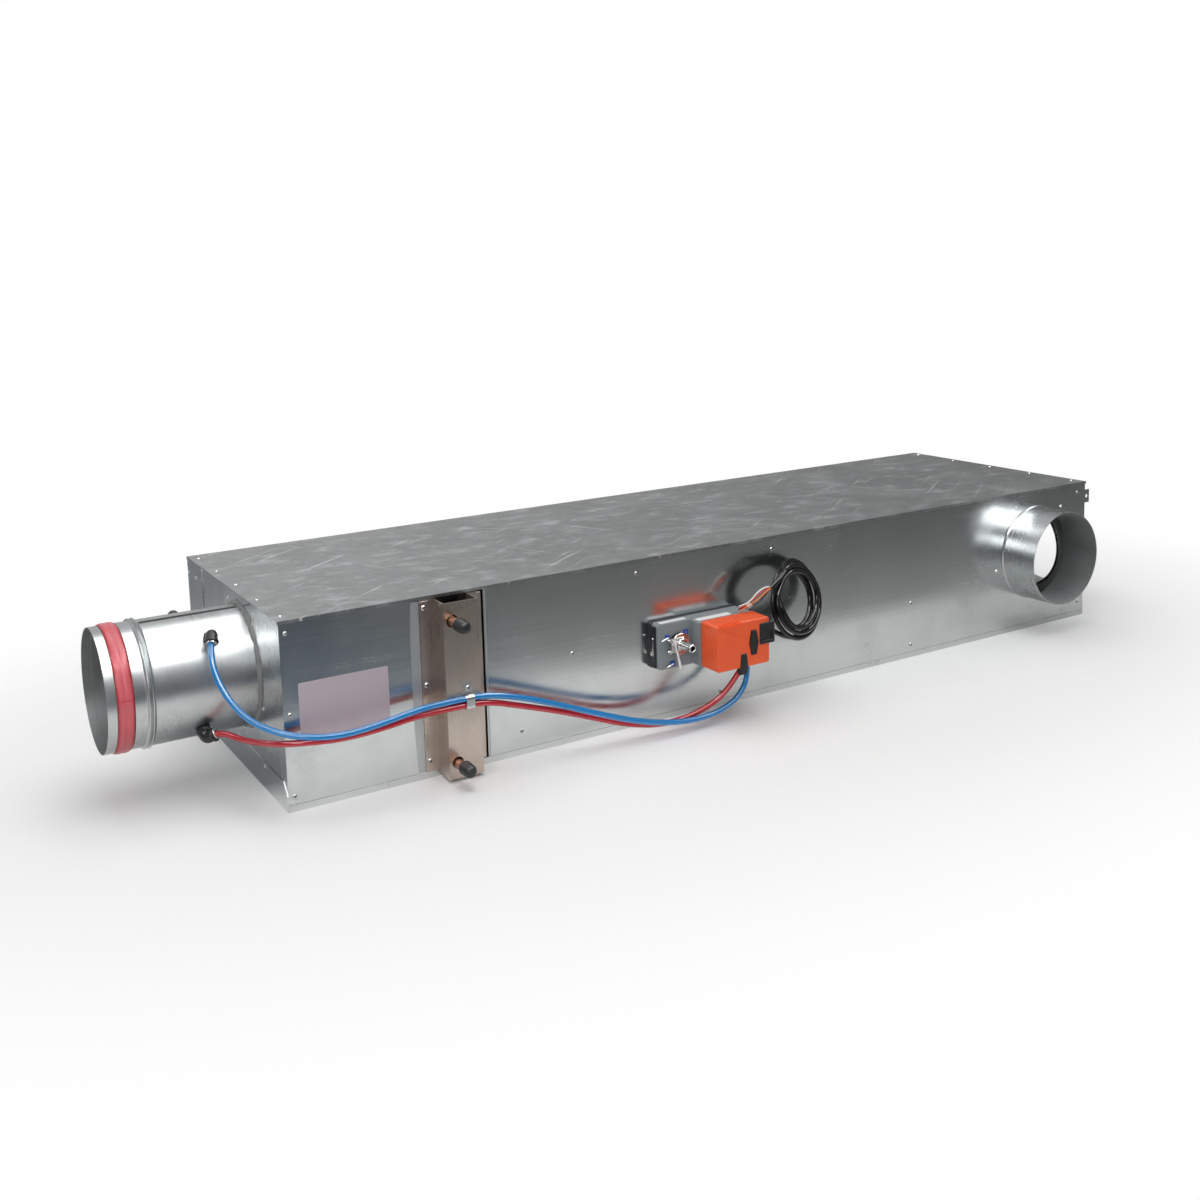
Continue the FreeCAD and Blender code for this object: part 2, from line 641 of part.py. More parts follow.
def tube_plugs():
    """Nuts that close the far ends of both measuring tubes."""
    plugs = []
    for x, angle in (("-probe_low_x", 225), ("-probe_high_x", 135)):
        nut = primitive("Prism", {"Polygon": "6", "Circumradius": "elbow_body + 2", "Height": "7"}, z="seam")
        dome = primitive("Sphere", {"Radius": "elbow_body"}, z="elbow_body")
        socket = primitive("Cylinder", {"Radius": "probe + fit", "Height": "probe_out + seam"})
        plug = subtract(fuse([nut, dome]), socket)
        turn = probe_turn(angle)
        outward = turn.multVec(Vector(0, 0, 1))
        plug.Placement = Placement(Vector(), turn)
        bind(plug, "Placement.Base.x", x)
        bind(plug, "Placement.Base.y", f"inlet_y + {outward.y:.6f} * duct")
        bind(plug, "Placement.Base.z", f"{INLET_Z} + {outward.z:.6f} * duct")
        plugs.append(plug)
    finish_part(group(plugs), "tube_plugs")


# Heating coil

TUBES = 6


def tube_level(number):
    return f"tube_low + {number} * ((height - tube_drop - tube_low) / {TUBES - 1})"


def coil_fins():
    """Finned block: gaps between the fins from both faces, and a row of tube holes."""
    body = new_body("coil_fins")
    left, right = "coil_x - fin_deep / 2", "coil_x + fin_deep / 2"
    pad_box(body, "XZ", (left, right, "fin_low", FIN_HIGH), "coil_back", "depth - coil_back")
    span = value("depth - 2 * coil_back - 2 * fin_pitch")
    count = int(span / value("fin_pitch"))
    first = ("coil_back + fin_pitch", "coil_back + fin_pitch + fin_gap")
    for low, high in ((left, f"{left} + fin_cut"), (f"{right} - fin_cut", right)):
        gap = cut_box(body, "YZ", (*first, "fin_low", FIN_HIGH), low, high)
        repeat(body, gap, "Y_Axis", f"{count - 1} * fin_pitch", count)
    holes = [("coil_x", tube_level(i), "tube + fit") for i in range(TUBES)]
    cut_holes(body, "XZ", holes, "coil_back", "depth - coil_back")


def coil_tubes():
    """One copper tube that runs to and fro through the fins, with both ends out at the front."""
    body = new_body("coil_tubes")
    path = new_sketch(body, "YZ", "coil_x")
    near, far, front = "coil_back - tube_past", "depth - coil_back + tube_past", "-stub"
    line_ends = []
    for i in range(TUBES):
        start = front if i in (0, TUBES - 1) else near
        z = value(tube_level(i))
        line = path.addGeometry(Part.LineSegment(Vector(value(start), z, 0), Vector(value(far), z, 0)))
        pin_point(path, line, 1, start, tube_level(i))
        pin_point(path, line, 2, far, tube_level(i))
        line_ends.append(line)
    for i in range(TUBES - 1):
        low, high = value(tube_level(i)), value(tube_level(i + 1))
        end, side, bulge = (far, 2, 1) if i % 2 == 0 else (near, 1, -1)
        middle = Vector(value(end) + bulge * (high - low) / 2, (low + high) / 2, 0)
        first, last = (low, high) if bulge > 0 else (high, low)
        arc = Part.Arc(Vector(value(end), first, 0), middle, Vector(value(end), last, 0))
        bend = path.addGeometry(arc)
        lower, upper = (1, 2) if bulge > 0 else (2, 1)
        path.addConstraint(Sketcher.Constraint("Coincident", bend, lower, line_ends[i], side))
        path.addConstraint(Sketcher.Constraint("Coincident", bend, upper, line_ends[i + 1], side))
        tie = path.addConstraint(Sketcher.Constraint("DistanceX", -1, 1, bend, 3, value(end)))
        bind(path, f"Constraints[{tie}]", end)
    section = new_sketch(body, "XZ", front)
    add_circle(section, "coil_x", tube_level(0), "tube")
    doc.recompute()
    pipe = body.newObject("PartDesign::AdditivePipe", "Pipe")
    pipe.Profile = section
    pipe.Spine = path
    doc.recompute()
    holes = [("coil_x", tube_level(0), "tube - wall"), ("coil_x", tube_level(TUBES - 1), "tube - wall")]
    cut_holes(body, "XZ", holes, "-stub", "-hat_deep")


def coil_front_sheet():
    """Front tube sheet with a folded wing behind the hat channel."""
    body = new_body("coil_front_sheet")
    web, thick = "coil_back - 2 * coil_sheet", "coil_sheet"
    plan = [("slot_left + sheet", "0"), ("hat_left - sheet", "0"), ("hat_left - sheet", web),
            ("slot_right - flange / 2 - sheet", web), ("slot_right - flange / 2 - sheet", "2 * sheet"),
            ("slot_right - flange / 2", "2 * sheet"), ("slot_right - flange / 2", f"{web} + {thick}"),
            (f"hat_left - sheet - {thick}", f"{web} + {thick}"), (f"hat_left - sheet - {thick}", thick),
            ("slot_left + sheet", thick)]
    pad_loop(body, "XY", plan, "0", "height - 2 * sheet - seam")
    holes = [("coil_x", tube_level(i), "tube + fit") for i in range(TUBES)]
    cut_holes(body, "XZ", holes, web, f"{web} + {thick}")


def coil_rear_sheet():
    """Rear tube sheet, folded back to the rear panel."""
    body = new_body("coil_rear_sheet")
    web = "depth - coil_back + coil_sheet"
    plan = [("hat_left - flange", web), ("slot_right - flange", web),
            ("slot_right - flange", "depth - sheet"), ("slot_right - flange - coil_sheet", "depth - sheet"),
            ("slot_right - flange - coil_sheet", f"{web} + coil_sheet"),
            ("hat_left - flange + coil_sheet", f"{web} + coil_sheet"),
            ("hat_left - flange + coil_sheet", "depth - sheet"), ("hat_left - flange", "depth - sheet")]
    pad_loop(body, "XY", plan, "0", "height - 2 * sheet - seam")
    holes = [("coil_x", tube_level(i), "tube + fit") for i in range(TUBES)]
    cut_holes(body, "XZ", holes, web, f"{web} + coil_sheet")


def coil_side_plates():
    """Channels under and over the finned block."""
    plates = []
    for z in ("fin_low - coil_sheet", FIN_HIGH):
        sizes = {"Length": "fin_deep", "Width": "depth - 2 * coil_back + 2 * coil_sheet",
                 "Height": "coil_sheet"}
        plates.append(primitive("Box", sizes, "coil_x - fin_deep / 2", "coil_back - coil_sheet", z))
    finish_part(group(plates), "coil_side_plates")


BRACKET_ROWS = ["height / 16", "height / 2", "height * 15 / 16"]


def coil_bracket():
    """Stainless hat channel in front of the coil, with its screw flange and pipe holes."""
    body = new_body("coil_bracket")
    thick = "coil_sheet"
    right = "hat_left + hat_wide"
    plan = [("hat_left - wing", "0"), ("hat_left - wing", f"-{thick}"), ("hat_left", f"-{thick}"),
            ("hat_left", "-hat_deep"), (right, "-hat_deep"), (right, f"-{thick}"),
            (f"{right} + hat_wing", f"-{thick}"), (f"{right} + hat_wing", "0"),
            (f"{right} - {thick}", "0"), (f"{right} - {thick}", f"{thick} - hat_deep"),
            (f"hat_left + {thick}", f"{thick} - hat_deep"), (f"hat_left + {thick}", "0")]
    pad_loop(body, "XY", plan, "hat_low", "height - 2 * sheet - cover_lip")
    cut_box(body, "XZ", ("hat_left - wing", "hat_left - seam", "hat_low", "0"), f"-{thick}", "0")
    cut_box(body, "XZ", (f"{right} + seam", f"{right} + hat_wing", "hat_low", "0"), f"-{thick}", "0")
    holes = [("coil_x", tube_level(0), "tube + 2"), ("coil_x", tube_level(TUBES - 1), "tube + 2"),
             ("clip_x + clip_wide / 2", "clip_z + 13", "shank + fit")]
    cut_holes(body, "XZ", holes, "-hat_deep", f"{thick} - hat_deep")
    holes = [("hat_left - wing / 2 - sheet", row, "shank + fit") for row in BRACKET_ROWS]
    cut_holes(body, "XZ", holes, f"-{thick}", "0")


def pipe_caps():
    """Domed rubber caps over both copper stubs."""
    caps = []
    for level in (tube_level(0), tube_level(TUBES - 1)):
        skirt = primitive("Cylinder", {"Radius": "cap", "Height": "cap_long - cap / 2"}, z="4 - cap_long")
        dome = primitive("Cone", {"Radius1": "cap", "Radius2": "cap * 0.45", "Height": "cap / 2"},
                         z="4 - cap / 2")
        bore = primitive("Cylinder", {"Radius": "tube + fit", "Height": "cap_long - 4"}, z="4 - cap_long")
        caps.append(subtract(fuse([skirt, dome]), bore))
        caps[-1].Placement = Placement(Vector(), Z_TO_FRONT)
        for letter, text in (("x", "coil_x"), ("y", "-stub"), ("z", level)):
            bind(caps[-1], f"Placement.Base.{letter}", text)
    finish_part(group(caps), "pipe_caps")


def hose_clip():
    """Strap that holds both hoses on the hat channel."""
    body = new_body("hose_clip")
    face, thick = "-hat_deep", "clip_sheet"
    out = "-hat_deep - 2 * hose - 2 * apart"
    top, low = "clip_z + hose + apart", "clip_z - hose_gap - hose - apart"
    curve = "(hose + apart)"
    outline = [(face, "clip_z + 19"), (f"{face} - {thick}", "clip_z + 19"),
               (f"{face} - {thick}", f"{top} + {thick}"),
               (f"{out} + {curve}", f"{top} + {thick}", f"{curve} + {thick}", -1),
               (f"{out} - {thick}", f"{top} - {curve}"),
               (f"{out} - {thick}", f"{low} + {curve}", f"{curve} + {thick}", -1),
               (f"{out} + {curve}", f"{low} - {thick}"), (face, f"{low} - {thick}"), (face, low),
               (f"{out} + {curve}", low, curve, 1), (out, f"{low} + {curve}"),
               (out, f"{top} - {curve}", curve, 1), (f"{out} + {curve}", top), (face, top)]
    pad_loop(body, "YZ", outline, "clip_x", "clip_x + clip_wide")
    hole = [("clip_x + clip_wide / 2", "clip_z + 13", "shank + fit")]
    cut_holes(body, "XZ", hole, f"{face} - {thick}", face)


# Damper

def damper_frame():
    """Partition with a rectangular sleeve in which the blade turns."""
    body = new_body("damper_frame")
    back = "damper_x + frame_deep / 2"
    half = "(blade + seal + apart)"
    opening = ("frame_side", "depth - frame_side", f"damper_z - {half}", f"damper_z + {half}")
    sketch = new_sketch(body, "YZ")
    add_box(sketch, "2 * sheet + seam", "depth - 2 * sheet - seam", "-lip + sheet",
            "height - 2 * sheet - seam")
    add_box(sketch, *opening)
    extrude(body, sketch, "YZ", f"{back} - coil_sheet", back)
    sketch = new_sketch(body, "YZ")
    add_box(sketch, "frame_side - coil_sheet", "depth - frame_side + coil_sheet",
            f"damper_z - {half} - coil_sheet", f"damper_z + {half} + coil_sheet")
    add_box(sketch, *opening)
    extrude(body, sketch, "YZ", "damper_x - frame_deep / 2", f"{back} - coil_sheet")
    hole = [("damper_x", "damper_z", "bush + fit")]
    cut_holes(body, "XZ", hole, "frame_side - coil_sheet", "frame_side")
    cut_holes(body, "XZ", hole, "depth - frame_side", "depth - frame_side + coil_sheet")


BLADE_ENDS = ("frame_side + sheet + apart", "depth - frame_side - sheet - apart")
BLADE_BOLTS = ("depth / 4", "depth * 3 / 4")


def damper_blade():
    """Two-skin blade with a folded hub round the shaft."""
    body = new_body("damper_blade", "damper_x", "0", "damper_z")
    half = "blade_sheet / 2"
    top = [("-blade", half), ("-2.4 * blade_hub", half), ("-1.2 * blade_hub", "blade_hub"),
           ("1.2 * blade_hub", "blade_hub"), ("2.4 * blade_hub", half), ("blade", half)]
    low = [(x, f"-{z}") for x, z in reversed(top)]
    pad_loop(body, "XZ", top + low, *BLADE_ENDS)
    cut_holes(body, "XZ", [("0", "0", "shaft")], *BLADE_ENDS)
    cut_holes(body, "XY", [("0", y, "bolt + fit") for y in BLADE_BOLTS], "-blade_hub", "blade_hub")


def damper_shaft():
    """Shaft through the casing, with a hollow front end."""
    body = new_body("damper_shaft", "damper_x", "0", "damper_z")
    sketch = new_sketch(body, "XZ")
    add_circle(sketch, "0", "0", "shaft")
    extrude(body, sketch, "XZ", "-shaft_front", "depth - 3 * sheet")
    cut_holes(body, "XZ", [("0", "0", "shaft * 0.62")], "-shaft_front", "-shaft_front + 22")
    cut_holes(body, "XY", [("0", y, "bolt + fit") for y in BLADE_BOLTS], "-shaft", "shaft")


def blade_bolts():
    """Bolts through the blade's hub and the shaft."""
    bolts = []
    for y in BLADE_BOLTS:
        shank = primitive("Cylinder", {"Radius": "bolt", "Height": "2 * blade_hub + 4"}, y=y,
                          z="-blade_hub - 4")
        head = primitive("Cylinder", {"Radius": "2 * bolt", "Height": "2"}, y=y, z="blade_hub")
        nut = primitive("Prism", {"Polygon": "6", "Circumradius": "2 * bolt", "Height": "3"}, y=y,
                        z="-blade_hub - 3")
        bolts.append(fuse([shank, head, nut]))
    finish_part(group(bolts), "blade_bolts", "damper_x", "0", "damper_z")


def blade_seals():
    """Rubber strips on the blade's two long edges."""
    strips = []
    for x in ("blade", "-blade - seal"):
        sizes = {"Length": "seal", "Width": f"({BLADE_ENDS[1]}) - ({BLADE_ENDS[0]})",
                 "Height": "2 * blade_sheet"}
        strips.append(primitive("Box", sizes, x, BLADE_ENDS[0], "-blade_sheet"))
    finish_part(group(strips), "blade_seals", "damper_x", "0", "damper_z")


def shaft_bush(label, near, far, collar_near, collar_far):
    """Flanged plastic bush for the damper shaft."""
    body = new_body(label, "damper_x", "0", "damper_z")
    for radius, low, high in (("bush", near, far), ("bush + 3", collar_near, collar_far)):
        sketch = new_sketch(body, "XZ")
        add_circle(sketch, "0", "0", radius)
        extrude(body, sketch, "XZ", low, high)
    cut_holes(body, "XZ", [("0", "0", "shaft + fit")], near, far)


# Actuator

def actuator_base():
    """Black pad between the actuator and the front panel."""
    body = new_body("actuator_base")
    sides = ("base_left", "base_left + base_long", "drive_low", "drive_low + drive_wide")
    pad_box(body, "XZ", sides, "-base", "0")
    cut_holes(body, "XZ", [("damper_x", "damper_z", "clamp")], "-base", "0")
    dress(body, "Fillet", "4", lambda e: abs(e.BoundBox.YLength - value("base")) < 0.01 and is_line(e))


def is_line(edge):
    return edge.Curve.TypeId == "Part::GeomLine"


def along_y(edge):
    return is_line(edge) and edge.BoundBox.XLength < 0.01 and edge.BoundBox.ZLength < 0.01


def actuator_housing():
    """Grey gear housing: a low end round the shaft, and a tall body under the cover."""
    body = new_body("actuator_housing")
    low, high = "drive_low", "drive_low + drive_wide"
    pad_box(body, "XZ", ("drive_left", "drive_right", low, high), "-drive_floor", "-base")
    dress(body, "Fillet", "6", lambda e: along_y(e) and e.BoundBox.XMin < value("drive_left") + 1)
    pad_loop(body, "XZ", [("drive_step", f"{low} + 1"), ("drive_right", f"{low} + 1"),
                          ("drive_right", f"{high} - 1"), ("drive_step", f"{high} - 1")],
             "-cover_back", "-drive_floor")
    dress(body, "Chamfer", "2", lambda e: along_y(e) and abs(e.BoundBox.XMin - value("drive_step")) < 0.01)
    cut_holes(body, "XZ", [("damper_x", "damper_z", "shaft + 2")], "-drive_floor", "-base")
    cut_holes(body, "XZ", [("damper_x", "damper_z", "clamp + 3")], "-drive_floor", "-drive_floor + 4")
    dress(body, "Chamfer", "1", on_front_rim)


def on_front_rim(edge):
    """Straight edges of the low end's front face that lie on its outline."""
    box = edge.BoundBox
    flat = abs(box.YMin + value("drive_floor")) < 0.01 and box.YLength < 0.01
    return flat and is_line(edge) and box.XMax < value("drive_step") - 0.5


def actuator_cover():
    """Orange cover with a drafted front, gripping ridges and seats for the button, port and socket."""
    body = new_body("actuator_cover")
    low, high = "drive_low - 0.5", "drive_low + drive_wide + 0.5"
    pad_box(body, "XZ", ("cover_left", "drive_right", low, high), "-cover_front", "-cover_back")
    front = value("-cover_front")
    dress(body, "Chamfer", "draft", lambda e: is_line(e) and e.BoundBox.YLength < 0.01
          and abs(e.BoundBox.YMin - front) < 0.01 and e.BoundBox.XMax < value("drive_right"))
    long_edge = value("cover_front - cover_back") / 2
    dress(body, "Fillet", "1.5", lambda e: is_line(e) and e.BoundBox.YLength > long_edge)
    ridge = cut_box(body, "XZ", ("cover_left + draft + 3", "cover_left + draft + 6", f"{high} - 2.2", high),
                    "-cover_front", "-cover_front + 16")
    repeat(body, ridge, "X_Axis", "3 * 9", 4)
    sketch = new_sketch(body, "XZ")
    add_loop(sketch, button_outline("apart"))
    extrude(body, sketch, "XZ", "-cover_front", "-cover_front + button_deep + travel + apart", "Pocket")
    cut_box(body, "XZ", ("socket_left", "drive_right + 1", "socket_low", "socket_low + socket_tall"),
            "-cover_front - 1", "-socket_back")
    cut_box(body, "XZ", ("port_x - 7", "port_x + 7", low, "port_tip + 30"), "-cover_front",
            "-port_y + hose + 2")


def button_outline(gap):
    """Elongated hexagon, widest at its middle."""
    x, z = "button_x", "button_z"
    wide, end, tall = f"(button_wide / 2 + {gap})", f"(button_end / 2 + {gap})", f"(button_tall / 2 + {gap})"
    return [(f"{x} - {end}", f"{z} - {tall}"), (f"{x} + {end}", f"{z} - {tall}"), (f"{x} + {wide}", z),
            (f"{x} + {end}", f"{z} + {tall}"), (f"{x} - {end}", f"{z} + {tall}"), (f"{x} - {wide}", z)]


def release_button():
    """Gear release button in the cover."""
    body = new_body("release_button")
    pad_loop(body, "XZ", button_outline("0"), "-cover_front - button_proud", "-cover_front + button_deep")
    front = value("-cover_front - button_proud")
    dress(body, "Chamfer", "0.8", lambda e: abs(e.BoundBox.YMax - front) < 0.01)


def service_socket():
    """Black service socket at the cover's upper corner."""
    body = new_body("service_socket")
    sides = ("socket_left", "socket_left + socket_wide", "socket_low", "socket_low + socket_tall")
    pad_box(body, "XZ", sides, "-socket_front", "-socket_back")
    inner = ("socket_left + 5", "socket_left + socket_wide - 5", "socket_low + 5", "socket_low + 19")
    cut_box(body, "XZ", inner, "-socket_front", "-socket_front + 1.5")
    dress(body, "Fillet", "1.5", lambda e: along_y(e) and e.BoundBox.YLength > 15)


def port_high():
    """High-pressure port at the foot of the cover, drilled along the lean of its hose."""
    body = new_body("port_high")
    x, low, foot = "port_x", "port_tip", "drive_low - 0.5"
    outline = [(f"{x} - 10", low), (f"{x} + 5", low), (f"{x} + 7", foot), (f"{x} + 5", f"{low} + 30"),
               (f"{x} - 5", f"{low} + 30"), (f"{x} - 7", foot)]
    pad_loop(body, "XZ", outline, "-cover_front - 1.5", "-port_y + hose + 2")
    add_drill(body, "hose + fit", "12", Rotation(Vector(0, 0, 1), Vector(*PORT_LEAN)),
              ("port_x - 7.3", "-port_y + 2", "port_tip - 4"))


def port_low():
    """Low-pressure port under the housing."""
    body = new_body("port_low")
    pad_box(body, "XY", ("low_x - 8", "low_x + 8", "-low_y - 7", "-low_y + 7"), "low_tip", "drive_low - 0.5")
    cut_holes(body, "XY", [("low_x", "-low_y", "hose + fit")], "low_tip", "low_tip + 4")


def cable_gland():
    """Rubber gland at the actuator's end."""
    body = new_body("cable_gland", "drive_right", "-cable_y + 4", "cable_z")
    tip = "gland_long"
    revolve(body, [("0", "0"), ("0", "gland + 1"), ("3", "gland + 1"), ("3", "gland"), (tip, "cable + 1"),
                   (tip, "cable + fit"), (f"{tip} - 3", "cable + fit"), (f"{tip} - 3", "0")])


CLAMP_BOLT_Y = "-drive_floor - apart - clamp_thick + 2.1"
BOLT_BEND = "(shaft + bolt + 0.5)"


def bolt_rod(radius):
    """The bolt's rod: a half ring past the shaft and two straight legs."""
    half_turn = Rotation(Vector(1, 0, 0), 90).multiply(Rotation(Vector(0, 0, 1), -90))
    rod = [primitive("Torus", {"Radius1": BOLT_BEND, "Radius2": radius, "Angle3": "180"}, "3", CLAMP_BOLT_Y,
                     turn=half_turn)]
    for z in (f"-{BOLT_BEND}", BOLT_BEND):
        leg = {"Radius": radius, "Height": "26"}
        rod.append(primitive("Cylinder", leg, "-23", CLAMP_BOLT_Y, z, Z_TO_RIGHT))
    return rod


def spindle_clamp():
    """Toothed jaw and ring that grip the shaft."""
    ring = primitive("Cylinder", {"Radius": "clamp", "Height": "clamp_thick"}, y="-drive_floor - apart",
                     turn=Z_TO_FRONT)
    jaw = primitive("Box", {"Length": "17", "Width": "clamp_thick - 4.5", "Height": "20"}, "-17",
                    "-drive_floor - apart - clamp_thick", "-10")
    post = primitive("Cylinder", {"Radius": "clamp - 3", "Height": "clamp_thick + 4"},
                     y="-drive_floor - apart", turn=Z_TO_FRONT)
    bore = primitive("Cylinder", {"Radius": "shaft", "Height": "clamp_thick + 10"}, y="-drive_floor + 1",
                     turn=Z_TO_FRONT)
    solid = subtract(subtract(fuse([ring, jaw, post]), bore), fuse(bolt_rod("bolt + fit")))
    finish_part(solid, "spindle_clamp", "damper_x", "0", "damper_z")


def clamp_bolt():
    """U-bolt round the shaft, with its two nuts on the jaw."""
    pieces = bolt_rod("bolt")
    for z in (f"-{BOLT_BEND}", BOLT_BEND):
        pieces.append(primitive("Prism", {"Polygon": "6", "Circumradius": "2 * bolt", "Height": "3"}, "-20",
                                CLAMP_BOLT_Y, z, Z_TO_RIGHT))
    finish_part(fuse(pieces), "clamp_bolt", "damper_x", "0", "damper_z")


def position_pointer():
    """Flat bar on the clamp that shows the blade's angle."""
    body = new_body("position_pointer", "damper_x", "0", "damper_z")
    near = "-drive_floor - apart - clamp_thick"
    outline = [("-13.5", "6"), ("-4.5", "-pointer + 6"), ("-0.5", "-pointer + 6.8"), ("-9.3", "-3"),
               ("-9.3", "6.8")]
    pad_loop(body, "XZ", outline, f"{near} - 1", near)


END_STOPS = (("damper_x + 12.5", "damper_z + 14"), ("damper_x - 19", "damper_z + 11"),
             ("damper_x - 11", "damper_z - 28"))


def end_stops():
    """Blue stop blocks on the clamp side, each with a steel set screw."""
    stops = []
    for x, z in END_STOPS:
        block = primitive("Box", {"Length": "stop", "Width": "2.5", "Height": "stop"}, f"{x} - stop / 2",
                          "-drive_floor - 2.5", f"{z} - stop / 2")
        pin = primitive("Cylinder", {"Radius": "1.2", "Height": "0.6"}, x, "-drive_floor - 2.5", z,
                        Z_TO_FRONT)
        stops.append(fuse([block, pin]))
    finish_part(group(stops), "end_stops")


def actuator_strap():
    """Steel strap and screw that keep the actuator from turning."""
    strap = primitive("Box", {"Length": "1.5", "Width": "drive_floor - base - 5", "Height": "36"},
                      "drive_left - 1.5", "-drive_floor + 5", "damper_z - 20")
    foot = primitive("Box", {"Length": "drive_left - base_left", "Width": "3", "Height": "20"}, "base_left",
                     "-base - 3", "damper_z - 12")
    screw = primitive("Cylinder", {"Radius": "screw", "Height": "2"}, "drive_left - 1.5", "-drive_floor + 10",
                      "damper_z + 8", Z_TO_INLET)
    finish_part(fuse([strap, foot, screw]), "actuator_strap")


# Air path

NOZZLE_PLACES = [(f"depth / 2 + {(i - 1.5) * 0.22:.2f} * depth", f"height * {row}") for row in (0.28, 0.72)
                 for i in range(4)]


def nozzle_plate():
    """Partition that carries the induction nozzles."""
    body = new_body("nozzle_plate")
    sides = ("2 * sheet + seam", "depth - 2 * sheet - seam", "-lip + sheet", "height - 2 * sheet - seam")
    pad_box(body, "YZ", sides, "nozzle_x", "nozzle_x + coil_sheet")
    cut_holes(body, "YZ", [(y, z, "nozzle") for y, z in NOZZLE_PLACES], "nozzle_x", "nozzle_x + coil_sheet")


def nozzles():
    """Conical nozzles, each seated in a hole of the plate."""
    cones = []
    for y, z in NOZZLE_PLACES:
        outer = primitive("Cone", {"Radius1": "nozzle", "Radius2": "nozzle_tip", "Height": "nozzle_long"},
                          "nozzle_x", y, z, Z_TO_RIGHT)
        inner = primitive("Cone", {"Radius1": "nozzle - 1.5", "Radius2": "nozzle_tip - 1.5",
                                   "Height": "nozzle_long"}, "nozzle_x", y, z, Z_TO_RIGHT)
        cones.append(subtract(outer, inner))
    finish_part(group(cones), "nozzles")


def induction_grille():
    """Slotted plate over the room-air opening in the tray."""
    body = new_body("induction_grille")
    left, right = "grille_x - grille_edge", "grille_x + grille_long + grille_edge"
    low, high = "(depth - grille_wide) / 2", "(depth + grille_wide) / 2"
    floor = ("-lip + sheet", "-lip + 2 * sheet")
    pad_box(body, "XY", (left, right, f"{low} - grille_edge", f"{high} + grille_edge"), *floor)
    first = cut_box(body, "XY", ("grille_x + 5", "grille_x + 5 + slot_wide", low, high), *floor)
    count = int((value("grille_long") - 5 - value("slot_wide")) / value("slot_pitch")) + 1
    repeat(body, first, "X_Axis", f"{count - 1} * slot_pitch", count)


def air_baffle():
    """Perforated plate in front of the outlet chamber."""
    body = new_body("air_baffle")
    sides = ("2 * sheet + seam", "depth - 2 * sheet - seam", "-lip + sheet", "height - 2 * sheet - seam")
    pad_box(body, "YZ", sides, "baffle_x", "baffle_x + sheet")
    holes = [(f"depth / 2 + {column - 2.5} * depth / 6.4", f"height / 2 + {row - 1} * height / 3.4",
              "baffle_hole") for column in range(6) for row in range(3)]
    cut_holes(body, "YZ", holes, "baffle_x", "baffle_x + sheet")


# Small parts

def head(x, y, z, turn):
    """Low conical screw or rivet head that stands on a face."""
    sizes = {"Radius1": "screw", "Radius2": "screw * 0.6", "Height": "screw_tall"}
    return primitive("Cone", sizes, x, y, z, turn)


def cover_screws():
    screws = []
    for x in ("edge", "length - edge"):
        for y in COVER_ROWS:
            top = head(x, y, "height", Rotation())
            shank = primitive("Cylinder", {"Radius": "shank", "Height": "shank_long"}, x, y,
                              "height - shank_long")
            screws.append(fuse([top, shank]))
    finish_part(group(screws), "cover_screws")


def bracket_screws():
    """Screws of the hat channel's flange, and the hose clip's screw."""
    screws = [head("hat_left - wing / 2 - sheet", "-coil_sheet", row, Z_TO_FRONT) for row in BRACKET_ROWS]
    x, y, z = "clip_x + clip_wide / 2", "-hat_deep - clip_sheet", "clip_z + 13"
    shank = primitive("Cylinder", {"Radius": "shank", "Height": "shank_long"}, x, y, z, Z_TO_REAR)
    screws.append(fuse([head(x, y, z, Z_TO_FRONT), shank]))
    finish_part(group(screws), "bracket_screws")


LEFT_SCREWS = [("edge - 2", "height * 0.045"), ("edge - 2", "height * 0.49"), ("edge - 2", "height * 0.93")]
MAIN_SCREWS = [("508", "height - 20"), ("748", "height - 20"), ("length - 21", "height - 17"),
               ("length - 14", "16"), ("402", "height / 2"), ("321", "24"), ("nozzle_x", "12"),
               ("baffle_x", "81"), ("baffle_x", "12")]


def panel_screws():
    """Screws on the front, rear and both ends."""
    screws = [head(x, "0", z, Z_TO_FRONT) for x, z in LEFT_SCREWS + MAIN_SCREWS]
    screws += [head(x, "depth", z, Z_TO_REAR) for x, z in LEFT_SCREWS + MAIN_SCREWS[:4] + MAIN_SCREWS[6:]]
    screws += [head("-sheet", f"depth * {share}", "tray_end - 5", Z_TO_INLET) for share in (0.21, 0.79)]
    screws += [head("length + sheet", f"depth * {share}", "tray_end - 5", Z_TO_RIGHT)
               for share in (0.06, 0.79)]
    screws.append(head("-sheet", "depth - return_wide * 0.6", "height - 22", Z_TO_INLET))
    finish_part(group(screws), "panel_screws")


def spigot_rivets():
    """Rivets round each spigot's flange."""
    rivets = []
    for i in range(5):
        angle = math.radians(48 + 72 * i)
        out, up = math.cos(angle), math.sin(angle)
        near, wide = "(duct + 12)", "(duct + 17)"
        across, level = f"{out:.4f} * {near}", f"{up:.4f} * {near}"
        rivets.append(head("0", f"inlet_y - {across}", f"{INLET_Z} + {level}", Z_TO_INLET))
        rivets.append(head("length", f"end_y + {across}", f"end_z + {level}", Z_TO_RIGHT))
        across, level = f"{out:.4f} * {wide}", f"{up:.4f} * {wide}"
        rivets.append(head(f"{OUTLET_X} + {across}", "0", f"{OUTLET_Z} + {level}", Z_TO_FRONT))
    finish_part(group(rivets), "spigot_rivets")


def label_plate():
    """Blank label on the short front panel."""
    body = new_body("label_plate")
    sides = ("label_x", "label_x + label_wide", "label_z", "label_z + label_tall")
    pad_box(body, "XZ", sides, "-label_thick", "0")


